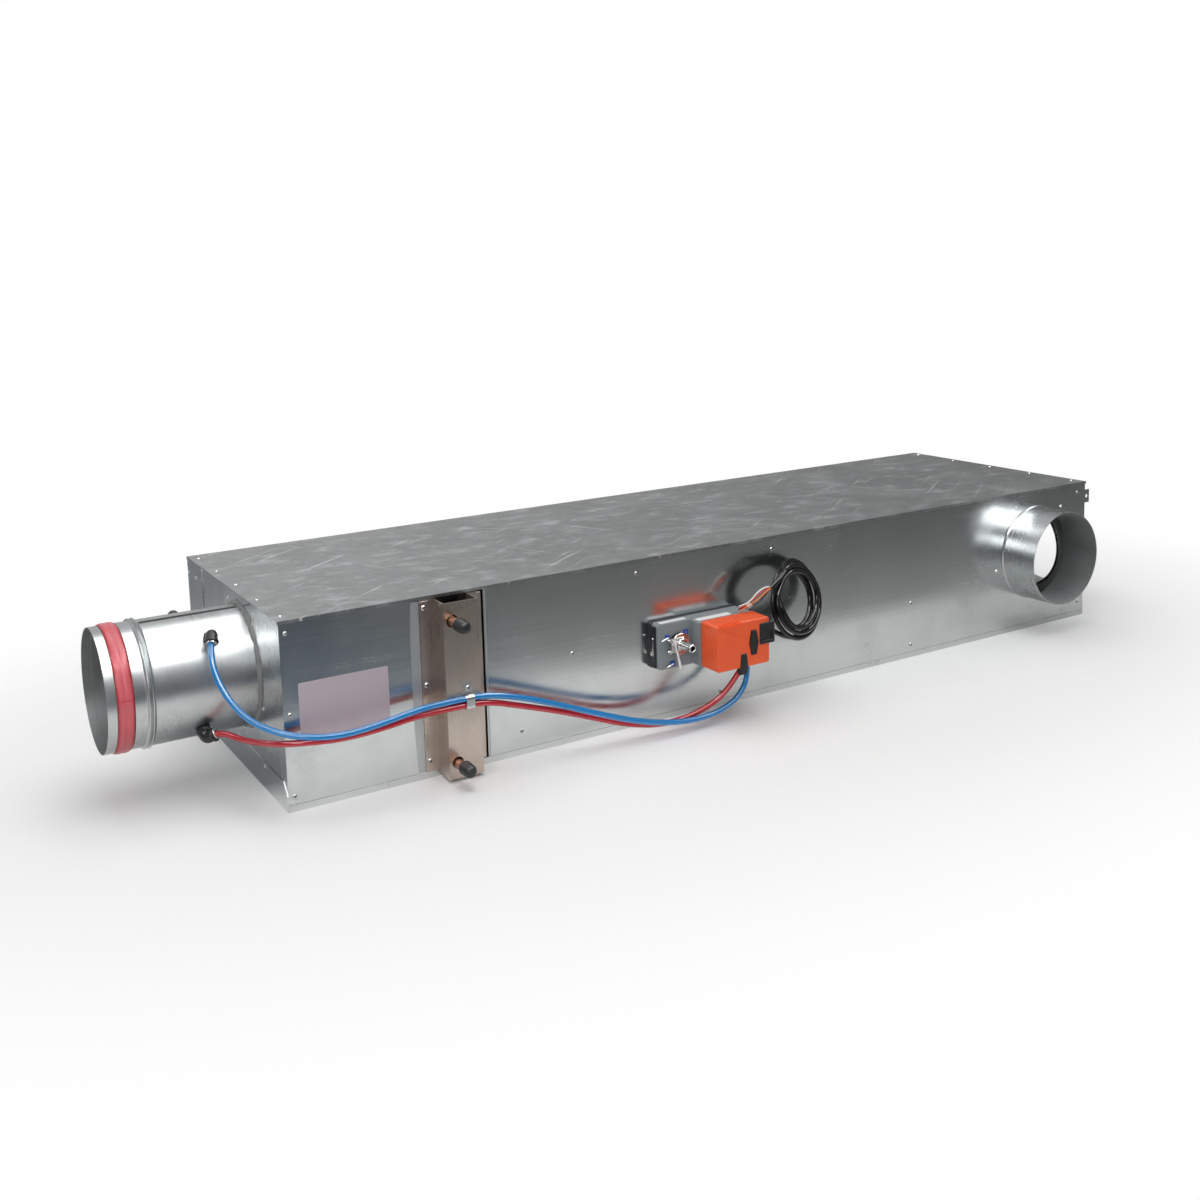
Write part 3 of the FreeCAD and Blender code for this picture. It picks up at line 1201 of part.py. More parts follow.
def corner_lug():
    """Folded lug on the outlet end, with a fixing hole."""
    body = new_body("corner_lug")
    plan = [("length", "3"), ("length + lug_reach", "3"), ("length + lug_reach", "3 + lug_sheet"),
            ("length + lug_sheet", "3 + lug_sheet"), ("length + lug_sheet", "22"), ("length", "22")]
    pad_loop(body, "XY", plan, LUG_Z, f"{LUG_Z} + lug_tall")
    hole = [("length + lug_reach * 0.58", f"{LUG_Z} + lug_tall / 2", "lug_hole")]
    cut_holes(body, "XZ", hole, "3", "3 + lug_sheet")


# Hoses and cable: straight runs joined by tangent arcs, the points chosen by hand in the casing's frame

BLUE_HOSE = [(-56.65, 89.08, 194.02), (-61.9, 76.9, 181.9), (-61, 59, 155), (-51, 40, 129), (-36, 17, 111),
             (-14, -6, 100), (18, -25, 92.5), (60, -35.5, 90), (110, -38, 93), (160, -37.3, 97.5),
             (205, -36.3, 99), (253, -36.3, 99), (302, -38.5, 86), (353, -43, 67), (410, -51, 44),
             (470, -58.5, 22), (535, -62, 7.5), (590, -61.5, 6.5), (630, -58, 16), (653, -53, 31),
             (662, -50, 50), (662, -50, 68.5)]
RED_HOSE = [(-60.16, 91.22, 75.78), (-47.4, 82.2, 84.8), (-33, 62, 79.5), (-27, 36, 79), (-20, 10, 80),
            (-5, -15, 81.5), (20, -30.5, 82), (60, -35, 80), (110, -37.5, 82.5), (160, -37.3, 87.5),
            (205, -36.3, 90), (253, -36.3, 90), (302, -38, 74), (353, -38, 57), (410, -40.5, 35),
            (465, -44, 14), (520, -46.5, 4), (560, -50, 8), (590, -58, 20), (614, -66.5, 39),
            (631.4, -71.3, 65)]
PORT_LEAN = (0.54, -0.15, 0.83)
CABLE_LEAD = [(689.3, -38, 108), (701, -38, 108), (712, -44, 107)]
WIRE_ROUTE = [(701.9, -51.2, 162.1), (694, -49.5, 158.5), (682, -47, 151.5), (668, -45, 147),
              (655, -42.8, 144.5)]


def rounded_route(points):
    """The wire of a route and its smallest radius: an arc at each point, as large as its two runs allow."""
    edges = []
    radii = []
    last = points[0]
    for before, point, after in zip(points, points[1:], points[2:]):
        run_in, run_out = before - point, after - point
        turn = math.pi - run_in.getAngle(run_out)
        trim = 0.45 * min(run_in.Length, run_out.Length)
        radii.append(trim / math.tan(turn / 2))
        inward, outward = run_in.normalize(), run_out.normalize()
        start, end = point + inward * trim, point + outward * trim
        bisector = (inward + outward).normalize()
        deep = radii[-1] / math.cos(turn / 2) - radii[-1]
        edges.append(Part.LineSegment(last, start).toShape())
        edges.append(Part.Arc(start, point + bisector * deep, end).toShape())
        last = end
    edges.append(Part.LineSegment(last, points[-1]).toShape())
    return Part.Wire(edges), min(radii)


def cord(label, route, radius):
    """A round cord along its route."""
    points = [Vector(*p) for p in route]
    wire, tightest = rounded_route(points)
    direction = points[1] - points[0]
    circle = Part.Wire([Part.Circle(points[0], direction, radius).toShape()])
    solid = wire.makePipeShell([circle], True, False)
    expected = math.pi * radius * radius * wire.Length
    print(f"{label}: length {wire.Length:.1f} mm, tightest radius {tightest:.1f} mm, "
          f"volume {solid.Volume:.0f} of {expected:.0f} mm3")
    item = doc.addObject("Part::Feature", label)
    item.Shape = solid
    return item


def cords():
    """Both hoses, the cable's lead, its coil and the bared wires."""
    for label, route in (("hose_low", BLUE_HOSE), ("hose_high", RED_HOSE)):
        finish_part(cord(label, route, value("hose")), label)
    finish_part(cord("cable_lead", CABLE_LEAD, value("cable")), "cable_lead")
    ring = primitive("Torus", {"Radius1": "coil_ring", "Radius2": "coil_fat"}, turn=Z_TO_FRONT)
    finish_part(ring, "cable_coil", "drive_right + 82", "-43", "143",
                Rotation(Vector(0, 0, 1), 15).multiply(Z_TO_FRONT))
    wires = []
    for number, (dy, dz) in enumerate(((0, 0), (2.3, 0), (0, 2.3), (2.3, 2.3))):
        route = [(x, y + dy, z + dz) for x, y, z in WIRE_ROUTE]
        wires.append(cord(f"wire_{number}", route, 0.9))
    finish_part(group(wires), "cable_wires")


# Assembly

bottom_tray()
top_cover()
rear_panel()
front_panel_left()
front_panel_main()
end_plate("inlet_end_plate", "0", "sheet", 1, "inlet_y", INLET_Z)
end_plate("outlet_end_plate", "length - sheet", "length", -1, "end_y", "end_z")
inlet_spigot()
inlet_gasket()
inlet_collar()
outlet_spigot("outlet_spigot_front", "outlet_reach", OUTLET_X, "0", OUTLET_Z, TO_FRONT)
outlet_spigot("outlet_spigot_end", "end_reach", "length", "end_y", "end_z")
measuring_tube("measuring_tube_low", "-probe_low_x", 45, 1)
measuring_tube("measuring_tube_high", "-probe_high_x", -45, -1)
elbow("elbow_low", "-probe_low_x", 45, -107)
elbow("elbow_high", "-probe_high_x", -45, 45)
tube_plugs()
coil_fins()
coil_tubes()
coil_front_sheet()
coil_rear_sheet()
coil_side_plates()
coil_bracket()
pipe_caps()
hose_clip()
damper_frame()
damper_blade()
damper_shaft()
blade_bolts()
blade_seals()
shaft_bush("shaft_bush_front", "0", "frame_side", "2 * sheet", "3 * sheet")
shaft_bush("shaft_bush_rear", "depth - frame_side", "depth - 2 * sheet", "depth - 3 * sheet",
           "depth - 2 * sheet")
actuator_base()
actuator_housing()
actuator_cover()
release_button()
service_socket()
port_high()
port_low()
cable_gland()
spindle_clamp()
clamp_bolt()
position_pointer()
end_stops()
actuator_strap()
nozzle_plate()
nozzles()
induction_grille()
air_baffle()
cover_screws()
bracket_screws()
panel_screws()
spigot_rivets()
label_plate()
corner_lug()
cords()
doc.recompute()


# Check and write

failures = [f"{item.Label} {item.Name} in {[p.Label for p in item.InList]}" for item in doc.Objects
            if {"Invalid", "Error"} & set(item.State)]
failures += [f"{part.Label} has no valid shape" for part in parts
             if part.Shape.isNull() or not part.Shape.isValid() or not part.Shape.Solids]
if failures:
    raise RuntimeError("\n".join(failures))
os.makedirs("parts", exist_ok=True)
for part in parts:
    part.Shape.exportStep(f"parts/{part.Label}.step")
print(len(parts), "sub-parts written")
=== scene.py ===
import math
from functools import partial, partialmethod

import bmesh
import bpy
import numpy as np
from bpy.props import FloatProperty, FloatVectorProperty, PointerProperty
from mathutils import Matrix, Vector


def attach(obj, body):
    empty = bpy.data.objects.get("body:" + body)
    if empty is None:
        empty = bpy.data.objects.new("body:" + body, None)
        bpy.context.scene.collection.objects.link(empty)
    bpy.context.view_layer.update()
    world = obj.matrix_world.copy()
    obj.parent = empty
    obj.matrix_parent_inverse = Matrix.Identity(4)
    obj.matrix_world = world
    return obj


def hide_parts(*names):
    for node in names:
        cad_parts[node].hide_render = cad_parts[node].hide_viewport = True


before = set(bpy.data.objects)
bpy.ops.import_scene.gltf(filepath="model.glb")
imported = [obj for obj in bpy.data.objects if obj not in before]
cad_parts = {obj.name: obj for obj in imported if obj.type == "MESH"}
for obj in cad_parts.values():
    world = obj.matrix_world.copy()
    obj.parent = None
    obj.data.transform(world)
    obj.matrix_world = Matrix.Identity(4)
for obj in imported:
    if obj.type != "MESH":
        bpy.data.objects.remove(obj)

bl_info = {
    "name": "Variable Air Volume Induction Unit",
    "version": (1, 0, 0),
    "blender": (4, 5, 0),
    "location": "3D View > Sidebar > Induction Unit",
    "description": "Dresses the packed induction unit with its metal, plastic, hoses, cable and stage",
    "category": "Add Mesh",
}

# Places are in millimetres from the casing's lower front corner at its inlet end: x runs along the
# casing, y into its depth, z up. The frame's origin is the centre of the inlet spigot's open end.
CORNER = np.array((0.184, -0.164, -0.136))
CASING_LONG, CASING_DEEP, CASING_TALL = 1450.0, 415.0, 231.0
INLET_AXIS, INLET_REACH = (164.0, 136.0), 184.0
OUTLET_AXIS = (1323.0, 123.0)
END_AXIS = (135.0, 98.0)
DUCT, DUCT_BORE = 79.0, 78.0
SHAFT = (562.0, 107.0)
BUTTON = np.array((651.5, 105.5))
COVER_FACE = 79.0
# Angle between two faces from which their edge is sharp
CREASE = math.radians(35)

UP = np.eye(3)
TO_FRONT = np.array(((1, 0, 0), (0, 0, -1), (0, 1, 0)), float)
TO_REAR = np.array(((-1, 0, 0), (0, 0, 1), (0, 1, 0)), float)
TO_INLET = np.array(((0, 0, -1), (-1, 0, 0), (0, 1, 0)), float)
TO_OUTLET = np.array(((0, 0, 1), (1, 0, 0), (0, 1, 0)), float)
LYING = np.array(((0, 0, 1), (0, 1, 0), (-1, 0, 0)), float)


# Surfaces

def metres(places):
    """Places on the casing, in millimetres, as points of the frame."""
    return np.asarray(places, float) / 1000 + CORNER


def quarter(count):
    return np.linspace(0, np.pi / 2, count)


def full_turn(count):
    return np.linspace(0, 2 * np.pi, count, endpoint=False)


def unit(vectors):
    return vectors / np.maximum(np.linalg.norm(vectors, axis=-1, keepdims=True), 1e-9)


def polar(radius, turn, height):
    """Points (r cos a, r sin a, h)."""
    return np.stack(np.broadcast_arrays(radius * np.cos(turn), radius * np.sin(turn), height), -1)


def shell(grid, round_rows=False, round_columns=True):
    """A grid of points (rows, columns, 3) and its faces, joined up at its ends where it runs round."""
    rows, columns = grid.shape[:2]
    i, j = np.meshgrid(np.arange(rows - (not round_rows)), np.arange(columns - (not round_columns)),
                       indexing="ij")
    down, on = (i + 1) % rows, (j + 1) % columns
    faces = np.stack([i * columns + j, i * columns + on, down * columns + on, down * columns + j], -1)
    return grid.reshape(-1, 3), faces.reshape(-1, 4)


def capped(rows):
    """Closed rows of equal counts, one after another, with a fan at both ends."""
    first, last = (np.repeat(row.mean(0)[None], len(row), 0) for row in (rows[0], rows[-1]))
    return shell(np.stack([first, *rows, last]))


def seated(part, place, turn=UP):
    """A part drawn about its own Z axis, turned and carried to its place."""
    points, faces = part
    return points @ turn.T + np.asarray(place, float), faces


def front(part):
    """A part drawn on the casing's front: x along it, y up it, and its height forwards."""
    return seated(part, (0, 0, 0), TO_FRONT)


def lathe(profile, count=96, ends=False):
    """Profile of (height, radius) turned once about Z: (r cos a, r sin a, h). With ends, the profile
    starts and stops on the axis; otherwise it closes on itself."""
    height, radius = np.asarray(profile, float).T[..., None]
    return shell(polar(radius, full_turn(count), height), round_rows=not ends)


def rounded(wide, tall, radius, steps=6):
    """Outline of a rectangle about its centre, with a quarter circle at each corner."""
    corners = []
    for number, (right, up) in enumerate(((1, 1), (-1, 1), (-1, -1), (1, -1))):
        angle = quarter(steps + 1) + number * np.pi / 2
        corners.append(np.stack([right * (wide / 2 - radius) + radius * np.cos(angle),
                                 up * (tall / 2 - radius) + radius * np.sin(angle)], -1))
    return np.concatenate(corners)


def divided(corners, steps):
    """A polygon with points spread evenly along each side."""
    corners = np.asarray(corners, float)
    share = np.linspace(0, 1, steps, endpoint=False)[None, :, None]
    return (corners[:, None] + (np.roll(corners, -1, 0) - corners)[:, None] * share).reshape(-1, 2)


def inset(outline, amount):
    """The outline moved inwards along the normal at each of its points."""
    along = unit(np.roll(outline, -1, 0) - np.roll(outline, 1, 0))
    return outline - amount * np.stack([along[:, 1], -along[:, 0]], -1)


def spaced(outline, step):
    """The outline with more points along its long sides, found by their way round; its own points stay."""
    closed = np.vstack([outline, outline[:1]])
    way = np.concatenate([[0], np.cumsum(np.linalg.norm(np.diff(closed, axis=0), axis=1))])
    extra = np.arange(0, way[-1], step)
    extra = extra[np.abs(extra[:, None] - way).min(1) > 0.25 * step]
    places = np.sort(np.concatenate([way[:-1], extra]))
    return np.column_stack([np.interp(places, way, side) for side in closed.T])


def stack(rings):
    """Rings of equal counts, each (outline, height), carried along Z."""
    return capped([np.column_stack([outline, np.full(len(outline), height)]) for outline, height in rings])


def hexagons(*rings):
    """A stack of hexagons, each (corner radius, height)."""
    corners = polar(1, np.radians(np.arange(0, 360, 60)), 0)[:, :2]
    return stack([(divided(corners * radius, 4), height) for radius, height in rings])


def edge_rings(outline, top, radius, count=5, start=0.0):
    """Rings of a quarter-round edge that ends at the top, and starts this far inside the outline."""
    return [(inset(outline, start + radius * (1 - math.cos(a))), top - radius + radius * math.sin(a))
            for a in quarter(count)]


def block(outline, low, high, edge=1.0, steps=4, edge_low=0.0):
    """An outline between two heights, its upper edge (and lower, if given) rounded by a quarter circle."""
    rings = [(inset(outline, edge_low * (1 - math.sin(a))), low + edge_low * (1 - math.cos(a)))
             for a in quarter(steps + 1)] if edge_low else [(outline, low)]
    return stack(rings + edge_rings(outline, high, edge, steps + 1) + [(inset(outline, 1.3 * edge), high)])


def tube(path, radius, side, across, count):
    """A circle carried along a path, drawn at each point on two directions of length one."""
    turn = full_turn(count)[:, None]
    radius = np.broadcast_to(np.asarray(radius, float), len(path))[:, None, None]
    return capped(path[:, None] + radius * (np.cos(turn) * side[:, None] + np.sin(turn) * across[:, None]))


def sweep(path, radius, across, count=24):
    """A circle carried along a flat path, drawn on the plane's normal and on the normal crossed with the
    path's direction."""
    path = np.asarray(path, float)
    across = np.broadcast_to(np.asarray(across, float), path.shape)
    return tube(path, radius, np.cross(across, unit(np.gradient(path, axis=0))), across, count)


def bump_between(x, start, end, rise):
    """A smooth rise and fall between two places: rise times the squared sine of the way across."""
    return rise * np.sin(np.pi * np.clip((x - start) / (end - start), 0, 1)) ** 2


def shown(name, data):
    piece = bpy.data.objects.new(name, data)
    bpy.context.scene.collection.objects.link(piece)
    return piece


def build(name, material, parts, *nodes, body="casing", slot=None):
    """Makes one piece from its parts, with doubled points merged and faces turned outwards. It takes the
    place of the solids that are named after the parts."""
    counts = np.cumsum([0] + [len(points) for points, _ in parts[:-1]])
    points = metres(np.concatenate([points for points, _ in parts]))
    faces = np.concatenate([faces + count for (_, faces), count in zip(parts, counts)])
    mesh = bpy.data.meshes.new(name)
    mesh.from_pydata(points.tolist(), [], faces.tolist())
    work = bmesh.new()
    work.from_mesh(mesh)
    bmesh.ops.remove_doubles(work, verts=work.verts, dist=2e-6)
    bmesh.ops.dissolve_degenerate(work, edges=work.edges, dist=1e-7)
    bmesh.ops.recalc_face_normals(work, faces=work.faces)
    work.to_mesh(mesh)
    work.free()
    mesh.polygons.foreach_set("use_smooth", np.ones(len(mesh.polygons), bool))
    mesh.set_sharp_from_angle(angle=CREASE)
    return settle(shown(name, mesh), material, *nodes, body=body, slot=slot)


def settle(piece, material, *nodes, body="casing", slot=None):
    """Gives a piece its finish, the body that it rides on and the solids it stands for. Its slot is not used."""
    piece.data.materials.append(finish(material))
    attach(piece, body)
    if nodes:
        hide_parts(*nodes)
    return piece


def hose_curve(name, route, radius):
    """A round cord on a smooth spline with the route's points as its control points. The points carry its
    radius, in metres, because Blender counts theirs into a curve's box."""
    curve = bpy.data.curves.new(name, "CURVE")
    curve.dimensions = "3D"
    curve.bevel_depth = 1.0
    curve.bevel_resolution = 8
    curve.resolution_u = 14
    curve.use_fill_caps = True
    spline = curve.splines.new("NURBS")
    count = len(route)
    spline.points.add(count - 1)
    spline.points.foreach_set("co", np.column_stack([metres(route), np.ones(count)]).ravel())
    spline.points.foreach_set("radius", np.full(count, radius))
    spline.order_u = 3
    spline.use_endpoint_u = True
    return shown(name, curve)


# Shader building

def opaque(colour, by=1.0, more=0.0):
    """A colour times a share, with a little added, no brighter than white, and solid."""
    return *(min(c * by + more, 1.0) for c in colour), 1.0


def tone_of(colour):
    """A colour, or the settings' colour of that name."""
    return np.array(getattr(bpy.context.scene.unit_finishes, colour) if isinstance(colour, str) else colour)


class Shades:
    """Short calls that add nodes to a tree. Each gives one output of the node that it added."""

    def __init__(self, tree):
        self.tree = tree

    def fill(self, item, inputs):
        """Links or sets a node's inputs."""
        for name, given in inputs.items():
            if isinstance(given, bpy.types.NodeSocket):
                self.tree.links.new(given, item.inputs[name])
            else:
                item.inputs[name].default_value = given
        return item.outputs

    def put(self, kind, inputs=None, out=0, **settings):
        item = self.tree.nodes.new("ShaderNode" + kind)
        for name, setting in settings.items():
            setattr(item, name, setting)
        return self.fill(item, inputs or {})[out]

    def maths(self, operation, a, b):
        return self.put("Math", {0: a, 1: b}, operation=operation)

    add = partialmethod(maths, "ADD")
    less = partialmethod(maths, "SUBTRACT")
    times = partialmethod(maths, "MULTIPLY")
    most = partialmethod(maths, "MAXIMUM")

    def spread(self, value, low, high, to_low=0.0, to_high=1.0, **settings):
        """Maps a value's range on to another, held at its ends."""
        return self.put("MapRange", {"Value": value, "From Min": low, "From Max": high, "To Min": to_low,
                                     "To Max": to_high}, **settings)

    def mix(self, share, a, b):
        return self.put("Mix", {0: share, 2: a, 3: b})

    def between(self, share, a, b):
        """Mixes two colours."""
        return self.put("Mix", {0: share, 6: a, 7: b}, out=2, data_type="RGBA")

    def vectors(self, operation, a, b=(0, 0, 0), out=0):
        return self.put("VectorMath", {0: a, 1: b}, out, operation=operation)

    stretched = partialmethod(vectors, "MULTIPLY")

    def noise(self, vector, scale, detail=3.0, roughness=0.5):
        return self.put("TexNoise", {"Vector": vector, "Scale": scale, "Detail": detail,
                                     "Roughness": roughness})

    def parts(self, vector):
        """A vector's three numbers."""
        item = self.tree.nodes.new("ShaderNodeSeparateXYZ")
        return self.fill(item, {0: vector})

    def group(self, name, **inputs):
        """Places a group. Gives its outputs by name."""
        item = self.tree.nodes.new("ShaderNodeGroup")
        item.node_tree = bpy.data.node_groups[name]
        return self.fill(item, inputs)

    def handled(self, vector, scale):
        return self.group("Handling Marks", Vector=vector, Scale=scale)["Mask"]

    def shade(self, colour, roughness, height, depth=0.0002, strength=0.3, **others):
        """Gives the principled shader its colour, roughness and bump, and its other sockets."""
        bump = self.put("Bump", {"Height": height, "Strength": strength, "Distance": depth})
        others = {label.replace("_", " "): value for label, value in others.items()}
        shader = self.tree.nodes["Principled BSDF"]
        return self.fill(shader, {"Base Color": colour, "Roughness": roughness, "Normal": bump, **others})


def new_group(name, inputs, outputs):
    """A shader node group. Gives its shades, its inputs, and a call that links its outputs in order."""
    tree = bpy.data.node_groups.new(name, "ShaderNodeTree")
    for label, default in inputs.items():
        kind = "NodeSocketVector" if isinstance(default, tuple) else "NodeSocketFloat"
        tree.interface.new_socket(label, in_out="INPUT", socket_type=kind).default_value = default
    for label in outputs:
        tree.interface.new_socket(label, in_out="OUTPUT", socket_type="NodeSocketFloat")
    given, result = tree.nodes.new("NodeGroupInput"), tree.nodes.new("NodeGroupOutput")
    shades = Shades(tree)

    def close(*values):
        shades.fill(result, dict(zip(outputs, values)))

    return shades, given.outputs[:len(inputs)], close


def rolled_group():
    """Rolled sheet: fine streaks along the rolling direction, faint crystals, clouds and thin scratches."""
    t, (vector, stretch, crystals, scratches), close = new_group(
        "Rolled Sheet", {"Vector": (0, 0, 0), "Stretch": (4, 500, 500), "Crystals": 0.3, "Scratches": 0.4},
        ("Tone", "Roughness", "Height"))
    lines = t.noise(t.stretched(vector, stretch), 1.0, 4.0, 0.6)
    cells = t.put("RGBToBW", {0: t.put("TexVoronoi", {"Vector": vector, "Scale": 85.0}, out=1)})
    clouds = t.noise(vector, 9.0)
    long_marks = t.noise(t.stretched(t.stretched(vector, stretch), (2.5, 0.9, 0.9)), 1.0, 1.0)
    marks = t.times(t.spread(long_marks, 0.66, 0.72), t.spread(t.noise(vector, 14.0, 2.0), 0.5, 0.62))
    marks = t.times(marks, scratches)
    lines_off, clouds_off = t.less(lines, 0.5), t.less(clouds, 0.5)
    tone = t.add(t.times(lines_off, 0.7), t.times(t.less(cells, 0.5), crystals))
    tone = t.add(t.add(t.add(tone, t.times(clouds_off, 0.5)), 0.5), marks)
    rough = t.add(t.times(lines_off, 0.16), t.times(clouds_off, 0.22))
    close(tone, t.less(rough, t.times(marks, 0.1)), t.less(lines, t.times(marks, 0.8)))


def marks_group():
    """Handling marks: soft smudges and a few dull spots."""
    t, (vector, scale), close = new_group("Handling Marks", {"Vector": (0, 0, 0), "Scale": 30.0}, ("Mask",))
    broad = t.spread(t.noise(vector, scale, 4.0, 0.6), 0.48, 0.7)
    spots = t.spread(t.noise(vector, t.times(scale, 9.0), 2.0), 0.66, 0.74, 0.0, 0.6)
    close(t.most(broad, spots))


def grain_group():
    """Moulded grain: small even bumps, with slow flow marks over them."""
    t, (vector, scale), close = new_group("Moulded Grain", {"Vector": (0, 0, 0), "Scale": 900.0},
                                          ("Height", "Tone"))
    flow = t.noise(vector, 35.0, 2.0)
    close(t.add(t.put("TexVoronoi", {"Vector": vector, "Scale": scale}), t.times(flow, 0.4)), flow)


def start_material(name):
    """A material with one principled shader. Gives it, its shades and the object's own coordinates."""
    material = bpy.data.materials.new(name)
    material.use_nodes = True
    t = Shades(material.node_tree)
    return material, t, t.put("TexCoord", out=3)


def scored(t, vector):
    """Fine score marks in three directions: turned and stretched noise, kept where it peaks and where a
    slower noise is high."""
    marks = []
    for angle, scale, gate_scale in ((-0.62, 210.0, 5.0), (0.38, 260.0, 7.0), (1.15, 300.0, 9.0)):
        turned = t.put("VectorRotate", {"Vector": vector, "Angle": angle}, rotation_type="Z_AXIS")
        lines = t.spread(t.noise(t.stretched(turned, (6.0, scale, 6.0)), 1.0, 1.5), 0.69, 0.73)
        marks.append(t.times(lines, t.spread(t.noise(turned, gate_scale, 2.0), 0.5, 0.64)))
    return t.most(t.most(marks[0], marks[1]), marks[2])


def sheet_metal(base, shares, rough, stretch, crystals, scratches, metallic=1.0, strength=0.2, scores=0.0,
                duct=None, waves=14.0, rubbed=0.0, *, name):
    """Bare sheet: rolled streaks and crystals in its tone, streaks and smudges in its gloss. A duct's
    inside, found by its distance from the duct's axis, is less metallic and rougher than its outside, and its
    colour is darkened there by a share as painted shade."""
    material, t, vector = start_material(name)
    dark, light = (tone_of(base) * share for share in shares)
    rolled = t.group("Rolled Sheet", Vector=vector, Stretch=stretch, Crystals=crystals, Scratches=scratches)
    mask = t.handled(vector, 11.0)
    colour = t.between(rolled["Tone"], opaque(dark), opaque(light))
    colour = t.between(t.times(mask, 0.18), colour, opaque(dark, 0.7))
    roughness = t.add(t.add(rolled["Roughness"], rough), t.times(mask, 0.08))
    height = t.add(rolled["Height"], t.times(t.noise(vector, 5.0, 1.0), waves))
    metal = t.times(metallic, 1.0)
    if rubbed:
        worn = t.spread(t.noise(t.stretched(vector, (20, 38, 1)), 1.0, 5.0, 0.7), 0.51, 0.68, 0.0, rubbed)
        colour = t.between(worn, colour, opaque((0.80, 0.82, 0.83)))
        metal = t.less(metal, t.times(worn, 0.5))
    if scores:
        lines = scored(t, vector)
        colour = t.between(t.times(lines, scores), colour, opaque((0.86, 0.87, 0.88)))
        metal = t.less(metal, t.times(lines, scores * 0.4))
    if duct:
        across, centre, dull, inside_painted_shade = duct
        away = t.vectors("LENGTH", t.stretched(t.vectors("SUBTRACT", vector, centre), across), out=1)
        bore, skin = 0.0783, 0.0787
        inside = t.spread(away, bore, skin, 1.0, 0.0)
        metal = t.less(metal, t.times(inside, dull))
        # Painted shade: the duct's inside colour is darkened towards a dark tone by this share.
        colour = t.between(t.times(inside, inside_painted_shade), colour, opaque(dark, 0.2))
        roughness = t.add(roughness, t.times(inside, 0.2))
    t.shade(colour, roughness, height, 0.0001, strength, Metallic=metal)
    return material


def moulding(colour, rough, scale=900.0, strength=0.25, tint=0.12, coat=0.0, *, name):
    """Moulded plastic or rubber: fine grain, flow marks in its tone, smudges in its gloss."""
    material, t, vector = start_material(name)
    colour = tone_of(colour)
    grain = t.group("Moulded Grain", Vector=vector, Scale=scale)
    base = t.between(grain["Tone"], opaque(colour, 1 - tint), opaque(colour, 1 + tint, 0.004))
    roughness = t.add(rough, t.times(t.handled(vector, 45.0), 0.12))
    t.shade(base, roughness, grain["Height"], 0.00006, strength, Coat_Weight=coat, Coat_Roughness=0.08)
    return material


def gasket_rubber(colour, *, name):
    """Soft clear rubber: slow clouds in its red, darker at its rims, painted shade darkening it towards its
    underside, and fine rings.
    """
    material, t, vector = start_material(name)
    colour = tone_of(colour)
    rings = t.noise(t.stretched(vector, (2600, 30, 30)), 1.0, 2.0)
    base = t.between(t.noise(vector, 40.0), opaque(colour, 0.85), opaque(colour, 1.2))
    along, _, height = t.parts(vector)
    deep, gasket_middle = opaque((0.45, 0.012, 0.02)), 0.0215
    middle = t.put("Math", {0: t.less(along, gasket_middle)}, operation="ABSOLUTE")
    base = t.between(t.spread(middle, 0.0062, 0.0088, 0.0, 0.85), base, deep)
    joint = t.put("Math", {0: t.less(height, 0.006)}, operation="ABSOLUTE")
    base = t.between(t.spread(joint, 0.0003, 0.0009, 0.6, 0.0), base, deep)
    # Painted shade: the colour darkens towards the gasket's underside.
    base = t.between(t.spread(height, -0.08, 0.01, 0.5, 0.0), base, opaque((0.25, 0.02, 0.03)))
    t.shade(base, t.spread(rings, 0.3, 0.7, 0.28, 0.42), rings, 0.0001, Subsurface_Weight=0.35,
            Subsurface_Radius=(0.004, 0.001, 0.001), Coat_Weight=0.1)
    return material


def film(colour, *, name):
    """Blank printed film: paper fibres under a gloss face."""
    material, t, vector = start_material(name)
    colour = tone_of(colour)
    fibres = t.noise(vector, 260.0, 5.0, 0.7)
    base = t.between(fibres, opaque(colour, 0.95), opaque(colour, 1.04))
    t.shade(base, t.spread(t.handled(vector, 25.0), 0, 1, 0.32, 0.45), fibres, 0.00004)
    return material


def plated(dark, light, rough, *, name):
    """Plated steel or copper: small clouds of tarnish and fine turning marks."""
    material, t, vector = start_material(name)
    clouds = t.spread(t.noise(vector, 140.0, 4.0, 0.6), 0.35, 0.7)
    fine = t.noise(t.stretched(vector, (900, 2500, 900)), 1.0, 2.0)
    roughness = t.add(rough, t.times(t.handled(vector, 90.0), 0.14))
    t.shade(t.between(clouds, opaque(light), opaque(dark)), roughness, fine, 0.00005, 0.25, Metallic=1.0)
    return material


